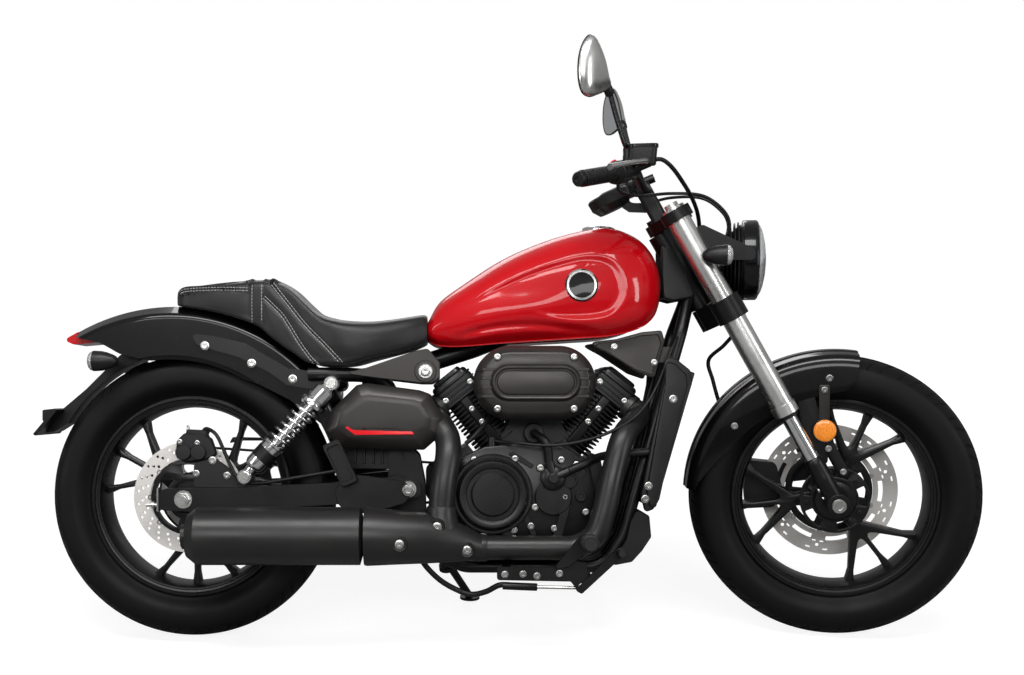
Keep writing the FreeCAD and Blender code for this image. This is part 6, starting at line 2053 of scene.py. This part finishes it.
@dataclass
class FootControls(SubAssembly):
    """The forward foot pegs on their plates with lever and linkage, and the folded pillion pegs."""

    inner: float = -178.0
    outer: float = -186.0
    plate: Outline = ((664, 176), (664, 148), (818, 145), (832, 126), (848, 126), (856, 144), (852, 184),
                      (826, 190), (780, 176))
    arm: Outline = ((778, 170), (812, 176), (856, 212), (872, 232), (864, 246), (838, 242))
    lever: Outline = ((826, 128), (840, 120), (916, 190), (934, 208), (924, 218), (904, 206))
    bracket: Outline = ((330, 304), (322, 332), (350, 366), (390, 364), (470, 352), (492, 334), (470, 306),
                        (400, 286), (350, 284))
    pad: Outline = ((297, 428), (332, 443), (374, 354), (341, 340))

    def build(self) -> None:
        """Make the controls and pegs of both sides."""
        y = self.outer
        metal = pressed(self.plate, 6, ((self.inner, 1), (self.inner - 1, 0), (y + 1, 0), (y, 1)))
        metal.add(pressed(self.arm, 6, ((y + 1, 0), (y - 7, 0), (y - 9, 2))))
        metal.add(pressed(self.lever, 5, ((y, 0), (y - 6, 0), (y - 7, 1))))
        for x in (850, 690):
            metal.turned([(0, 62), (10, 62), (10, 178), (0, 178)], (x, 0, 160), TO_RIGHT, 24)
        metal.turned([(0, 0), (8, 0), (8, 70), (7, 72), (0, 72)], (676, -182, 136), (1, 0, -0.04), 24)
        metal.add(pressed(self.bracket, 12, ((-149, 1), (-150, 0), (-156, 0), (-157, 1))))
        root, tip = Vector((853, y - 4, 229)), Vector((842, -330, 240))
        run = tip - root
        metal.turned([(0, 0), (12, 0), (12, run.length * 0.28), (0, run.length * 0.28)], root, run, 32)
        profile = [(0, run.length * 0.24)]
        for k in range(9):
            start = run.length * (0.25 + k / 12)
            profile += [(14, start), (17, start + 1), (17, start + 6), (14, start + 7)]
        rubber = Form().turned(profile + [(13, run.length), (0, run.length)], root, run, 32)
        rubber.turned(
            [(0, 0), (9, 0), (9, 46), (7.5, 48), (0, 48)], (920, y - 2, 206), (-0.04, RIGHT, 0.08), 24)
        rubber.add(pressed(self.pad, 8, (
            (-157, 1), (-158, 0), (-175, 0), (-177, 2), (-177, 9), (-171, 10), (-171, 16))))
        rod = Form().turned([(0, 0), (3.5, 0), (3.5, 92), (0, 92)], (742, -182, 133.4), (1, 0, -0.02), 16)
        for form, name, finish, nodes in ((
                metal, "peg_plates", FRAME_BLACK, ("foot_controls", "pillion_pegs")),
                (rubber, "peg_rubbers", SOFT_RUBBER, ()), (rod, "pedal_rods", ZINC, ())):
            self.shop.fit(name, form.mirror_copy(), Body.CHASSIS, finish, replaces=nodes)


@dataclass
class RearEnd(SubAssembly):
    """The rear caliper with its bracket and bolts, and the axle adjusters at the swingarm's ends."""

    def build(self) -> None:
        """Make the caliper, hose, bolts and adjusters."""
        out = TO_RIGHT
        body = pressed(((-26, 401), (-24, 436), (-8, 452), (34, 452), (52, 440), (64, 405), (30, 392),
                        (-8, 390)), 8, ((-84.5, 3), (-86, 0), (-96, 0), (-99, 3)))
        body.add(pressed(((-22, 404), (-20, 440), (4, 454), (40, 450), (58, 405), (20, 388)), 8,
                         ((-66, 3), (-68, 0), (-75, 0), (-75.5, 1))))
        for x in (-8, 24):
            body.turned([(0, 0), (17, 0), (17, 9), (15, 11), (0, 11.5)], (x, -97, 411), out, 40)
        body.add(pressed(
            ((-6, 446), (40, 446), (44, 458), (-2, 460)), 3, ((-67, 1), (-68, 0), (-97, 0), (-98, 1))))
        body.add(pressed(((14, 336), (16, 388), (60, 400), (112, 362), (118, 336)), 9,
                         ((-99.5, 1), (-100, 0), (-108, 0), (-109, 1))))
        self.shop.fit("rear_caliper_body", body, Body.CHASSIS, ENGINE_BLACK, replaces=("rear_brake_caliper",))
        bolts = Form()
        for x, z, y, size in ((56, 394, -109, 6.5), (21, 366, -109, 6.0), (87, 362, -109, 6.0),
                              (-17, 434, -99, 4.5), (21, 431, -99, 4.5)):
            bolts.bolt((x, y, z), out, size)
        bolts.turned(
            [(0, 0), (4.5, 0), (4.5, 5), (3, 6), (3, 13), (2, 14), (0, 14)], (0, -88, 455), (-0.1, 0, 1), 20)
        for side in (RIGHT, LEFT):
            bolts.add(pressed(((-57, 287), (-57, 337), (-52.5, 337), (-52.5, 287)), 1.5, (
                (side * 111, 0.5), (side * 112, 0), (side * 140, 0), (side * 141, 0.5))))
            bolts.turned([(0, 0), (4, 0), (4, 8), (8, 8.5), (8, 14), (4, 14.5), (4, 26), (0, 26)],
                         (-56, side * 126, 300), (-1, 0, 0), 24)
            bolts.turned(
                [(9, 0), (19, 0), (19, 3), (9, 3)], (0, side * 140.2, 313), (0, side, 0), 40, closed=True)
        self.shop.fit("rear_end_bolts", bolts, Body.CHASSIS, ZINC)
        hose = Form().tube(smooth_path([
            (30, -90, 454), (41, -96, 462), (64, -112, 450), (80, -116, 420), (96, -118, 384),
            (118, -120, 352), (160, -118, 346), (230, -104, 356), (330, -88, 372)]), 4.0, 14)
        self.shop.fit("rear_brake_hose", hose, Body.CHASSIS, SOFT_RUBBER)


@dataclass
class RearShocks(SubAssembly):
    """The chromed rear shocks: eyes, sleeves, damper bodies and their open springs."""

    top: Point = (314.0, -134.0, 559.0)
    foot: Point = (130.0, -134.0, 361.0)
    radius: float = 23.4
    wire: float = 3.4
    turns: float = 6.5
    steps: int = 30
    eye_half: float = 15.0

    def build(self) -> None:
        """Make both shocks."""
        top, foot = Vector(self.top), Vector(self.foot)
        run = (foot - top).normalized()
        length = (foot - top).length
        side = run.orthogonal().normalized()
        other = run.cross(side)
        metal = Form()
        metal.turned([
            (0, 10), (15, 10), (21, 17), (22.5, 19), (22.5, 46), (20.5, 48), (20.5, 53), (26.5, 54),
            (27.5, 56), (27.5, 62), (26.5, 63), (14, 64), (12.5, 66), (12.5, length - 98), (24, length - 97),
            (27, length - 95), (27, length - 90), (24.5, length - 88), (24.5, length - 34), (22, length - 28),
            (14, length - 22), (12, length - 8), (0, length - 8)], top, run, 56)
        for point, half, bore in ((top, self.eye_half, 7.2), (foot, 14, 6.4)):
            metal.turned([(bore, -half), (14, -half), (15.5, -half + 1.5), (15.5, half - 1.5), (14, half),
                          (bore, half)], point, (0, 1, 0), 40, closed=True)
        start, span = 63 + self.wire, length - 97 - 63 - 2 * self.wire
        path = []
        for step in range(int(self.turns * self.steps) + 1):
            angle = math.tau * step / self.steps
            along = start + span * step / (self.turns * self.steps)
            path.append(top + run * along + (side * math.cos(angle) + other * math.sin(angle)) * self.radius)
        coil = Form().tube(path, self.wire, 14)
        band = Form().turned([(24.2, length - 76), (25.0, length - 76), (25.0, length - 50),
                              (24.2, length - 50)], top, run, 56, closed=True)
        seat = self.eye_half + 0.5
        caps = Form().turned([(0, seat - 1), (11, seat - 1), (11, seat + 1), (10, seat + 3), (5, seat + 3),
                              (4.5, seat + 1), (0, seat + 1)], top, TO_RIGHT, 32)
        for form, name, finish, nodes in (
                (metal, "shock_bodies", CHROME, ("shock_absorbers",)),
                (coil, "coil_springs", CHROME, ("shock_springs",)), (band, "shock_bands", NYLON, ()),
                (caps, "shock_bolts", ZINC, ())):
            self.shop.fit(name, form.mirror_copy(), Body.CHASSIS, finish, replaces=nodes)


@dataclass
class Studio:
    """The pale studio: floor, lamps, world and the camera of the photograph."""

    camera_place: Point = (545.0, -2680.0, 524.0)
    lens: float = 42.05
    shift: tuple[float, float] = (0.0703, 0.061)
    target: Point = (0.6, 0.1, 0.5)
    floor_half: float = 30.0
    shade: tuple[float, float] = (0.86, 1.0)
    shade_reach: tuple[float, float] = (1.6, 4.0)
    glossy_share: float = 0.24
    fill: float = 0.08
    lamps: Sequence[tuple[Point, tuple[float, float], float]] = (
        ((0.5, -1.5, 3.0), (3.0, 0.8), 95.0),
        ((0.3, -4.2, 2.2), (3.4, 1.0), 75.0),
        ((4.0, -2.2, 1.3), (0.5, 2.0), 34.0),
        ((-2.9, -2.2, 1.3), (0.5, 2.0), 30.0),
        ((0.6, 3.4, 2.6), (3.0, 1.4), 40.0),
    )

    def build(self, shop: Workshop) -> None:
        """Add the floor, lamps, world and camera.

        Args:
            shop: Where the pieces go.
        """
        self.add_floor()
        self.add_world()
        for place, (width, depth), power in self.lamps:
            self.add_lamp(Vector(place), width, depth, power)
        self.add_camera(shop)
        bpy.context.scene.view_settings.view_transform = "Standard"

    def add_floor(self) -> None:
        """A pale floor that keeps the shadow and is white to the camera elsewhere."""
        half = self.floor_half
        mesh = bpy.data.meshes.new("floor")
        corners = [(-half, -half, 0), (half, -half, 0), (half, half, 0), (-half, half, 0)]
        mesh.from_pydata(corners, [], [(0, 1, 2, 3)])
        paper = bpy.data.materials.new("white_seamless_paper")
        paper.use_nodes = True
        tree = paper.node_tree
        tree.nodes.clear()
        seen = add_node(tree, "LightPath").outputs["Is Camera Ray"]
        matte = add_node(tree, "BsdfDiffuse", {}, {"Color": linear("8c8c8c")})
        place = add_node(tree, "TexCoord").outputs["Object"]
        far = add_node(tree, "VectorMath", {"operation": "LENGTH"}, {0: place}).outputs["Value"]
        (near, beyond), (dark, white) = self.shade_reach, self.shade
        lift = add_node(tree, "MapRange", {"interpolation_type": "SMOOTHSTEP"}, {
            "Value": far, "From Min": near, "From Max": beyond, "To Min": dark, "To Max": white})
        lift = add_node(tree, "Math", {"operation": "MULTIPLY"}, {0: seen, 1: lift.outputs["Result"]})
        glow = add_node(tree, "Emission", {}, {"Color": linear("ffffff"), "Strength": lift.outputs[0]})
        both = add_node(tree, "AddShader", {}, {0: matte.outputs[0], 1: glow.outputs[0]})
        add_node(tree, "OutputMaterial", {}, {"Surface": both.outputs[0]})
        mesh.materials.append(paper)
        floor = bpy.data.objects.new("floor", mesh)
        bpy.context.scene.collection.objects.link(floor)

    def add_world(self) -> None:
        """White to the camera and to clear rays, dimmer to glossy rays, softer as light."""
        world = bpy.data.worlds.new("studio")
        bpy.context.scene.world = world
        world.use_nodes = True
        tree = world.node_tree
        tree.nodes.clear()
        path = add_node(tree, "LightPath")
        seen = add_node(tree, "Math", {"operation": "MAXIMUM"}, {
            0: path.outputs["Is Camera Ray"], 1: path.outputs["Is Transmission Ray"]}).outputs[0]
        glossy = add_node(tree, "Math", {"operation": "MULTIPLY"}, {
            0: path.outputs["Is Glossy Ray"], 1: self.glossy_share})
        seen = add_node(tree, "Math", {"operation": "MAXIMUM"}, {0: seen, 1: glossy.outputs[0]}).outputs[0]
        level = add_node(tree, "MapRange", {}, {"Value": seen, "To Min": self.fill, "To Max": 1.0})
        sky = add_node(tree, "Background", {}, {"Color": (1, 1, 1, 1), "Strength": level.outputs["Result"]})
        add_node(tree, "OutputWorld", {}, {"Surface": sky.outputs[0]})

    def add_lamp(self, place: Vector, width: float, depth: float, power: float) -> None:
        """Add a soft box that looks at the motorcycle's middle.

        Args:
            place: Where it is, in metres.
            width: Its width.
            depth: Its height.
            power: Its power in watts.
        """
        lamp = bpy.data.lights.new("soft_box", "AREA")
        lamp.shape = "RECTANGLE"
        lamp.size, lamp.size_y = width, depth
        lamp.energy = power
        holder = bpy.data.objects.new("soft_box", lamp)
        holder.location = place
        holder.rotation_euler = (Vector(self.target) - place).to_track_quat("-Z", "Y").to_euler()
        bpy.context.scene.collection.objects.link(holder)

    def add_camera(self, shop: Workshop) -> None:
        """The photograph's camera, square to the motorcycle's side.

        Args:
            shop: Where the pieces go.
        """
        frame = shop.frames[Body.CHASSIS]
        turn = frame.to_3x3().normalized().to_4x4() @ Matrix.Rotation(math.pi / 2, 4, "X")
        camera = bpy.data.cameras.new("camera")
        camera.lens = self.lens
        camera.sensor_width = 36.0
        camera.shift_x, camera.shift_y = self.shift
        holder = bpy.data.objects.new("camera", camera)
        holder.matrix_world = Matrix.Translation(frame @ Vector(self.camera_place)) @ turn
        bpy.context.scene.collection.objects.link(holder)
        bpy.context.scene.camera = holder


def dress_nodes(shop: Workshop) -> None:
    """Give every CAD node that stays its finish.

    Args:
        shop: Where the pieces go.
    """
    shop.dress(FRAME_BLACK, "frame", "swingarm", "triple_clamps", "handlebar", "headlight_bracket",
               "fender_struts", "side_stand", "plate_bracket")
    shop.dress(ENGINE_BLACK, "crankcase", "radiator", "front_brake_caliper")
    shop.dress(COVER_BLACK, "left_engine_covers")
    shop.dress(EXHAUST_BLACK, "muffler")
    shop.dress(GLOSS_BLACK, "rear_fender")
    shop.dress(ANODISED, "fork_tubes")
    shop.dress(ZINC, "suspension_bolts", "rear_axle", "front_axle")
    shop.dress(DISC_STEEL, "rear_pulley")
    shop.dress(SOFT_RUBBER, "drive_belt")
    shop.dress(NYLON, "throttle_body", "belt_guard", "instrument")
    shop.dress(RED_ACRYLIC, "tail_light")


def sub_assemblies() -> list[SubAssembly]:
    """Every sub-assembly that the scene makes, in order.

    Returns:
        The sub-assemblies.
    """
    return [
        FuelTank(),
        Saddle(),
        Tyre("front_tyre_carcass", "front_tyre", Body.FRONT_WHEEL, WHEELBASE, 126.0, 36.7),
        Tyre("rear_tyre_carcass", "rear_tyre", Body.REAR_WHEEL, 0.0, 150.0, 46.7),
        BrakeDisc("front_disc", "front_disc", Body.FRONT_WHEEL, WHEELBASE, 62.0, 150.0, 97.0, 36.0, False),
        BrakeDisc("rear_disc", "rear_disc", Body.REAR_WHEEL, 0.0, -80.0, 120.0, 84.0, 36.0, True),
        Fork(),
        Mirrors(),
        BarControls(),
        Headlight(),
        TurnSignals("front_signals", "front_turn_signals", Body.STEERING, 1166.0, 150.0, 846.0, 1.0, 100.0),
        TurnSignals("rear_signals", "rear_turn_signals", Body.CHASSIS, -178.0, 135.0, 607.0, -1.0, 30.0),
        FenderReflectors(),
        RearShocks(),
        CastWheel("front_cast_wheel", "front_rim", Body.FRONT_WHEEL, WHEELBASE, 46.0, (-52, 68, 188), 48.0,
                  (-62, 59.5)),
        CastWheel("rear_cast_wheel", "rear_rim", Body.REAR_WHEEL, 0.0, 56.0, (31, 151, 271), 52.0,
                  (-77.5, 81.5)),
        HubCover(),
        FrontFender(),
        Cylinders(),
        AirBox(),
        EngineCover(),
        Collector(),
        SideCovers(),
        BatteryBox(),
        Lines(),
        FootControls(),
        RearEnd(),
        Hardware(),
    ]


def main() -> None:
    """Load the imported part, dress it and set up the studio."""
    logging.basicConfig(level=logging.INFO, format="%(message)s")
    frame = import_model()
    shop = Workshop(frame)
    dress_nodes(shop)
    for part in sub_assemblies():
        part.shop = shop
        part.build()
    Studio().build(shop)


if __name__ == "__main__":
    main()
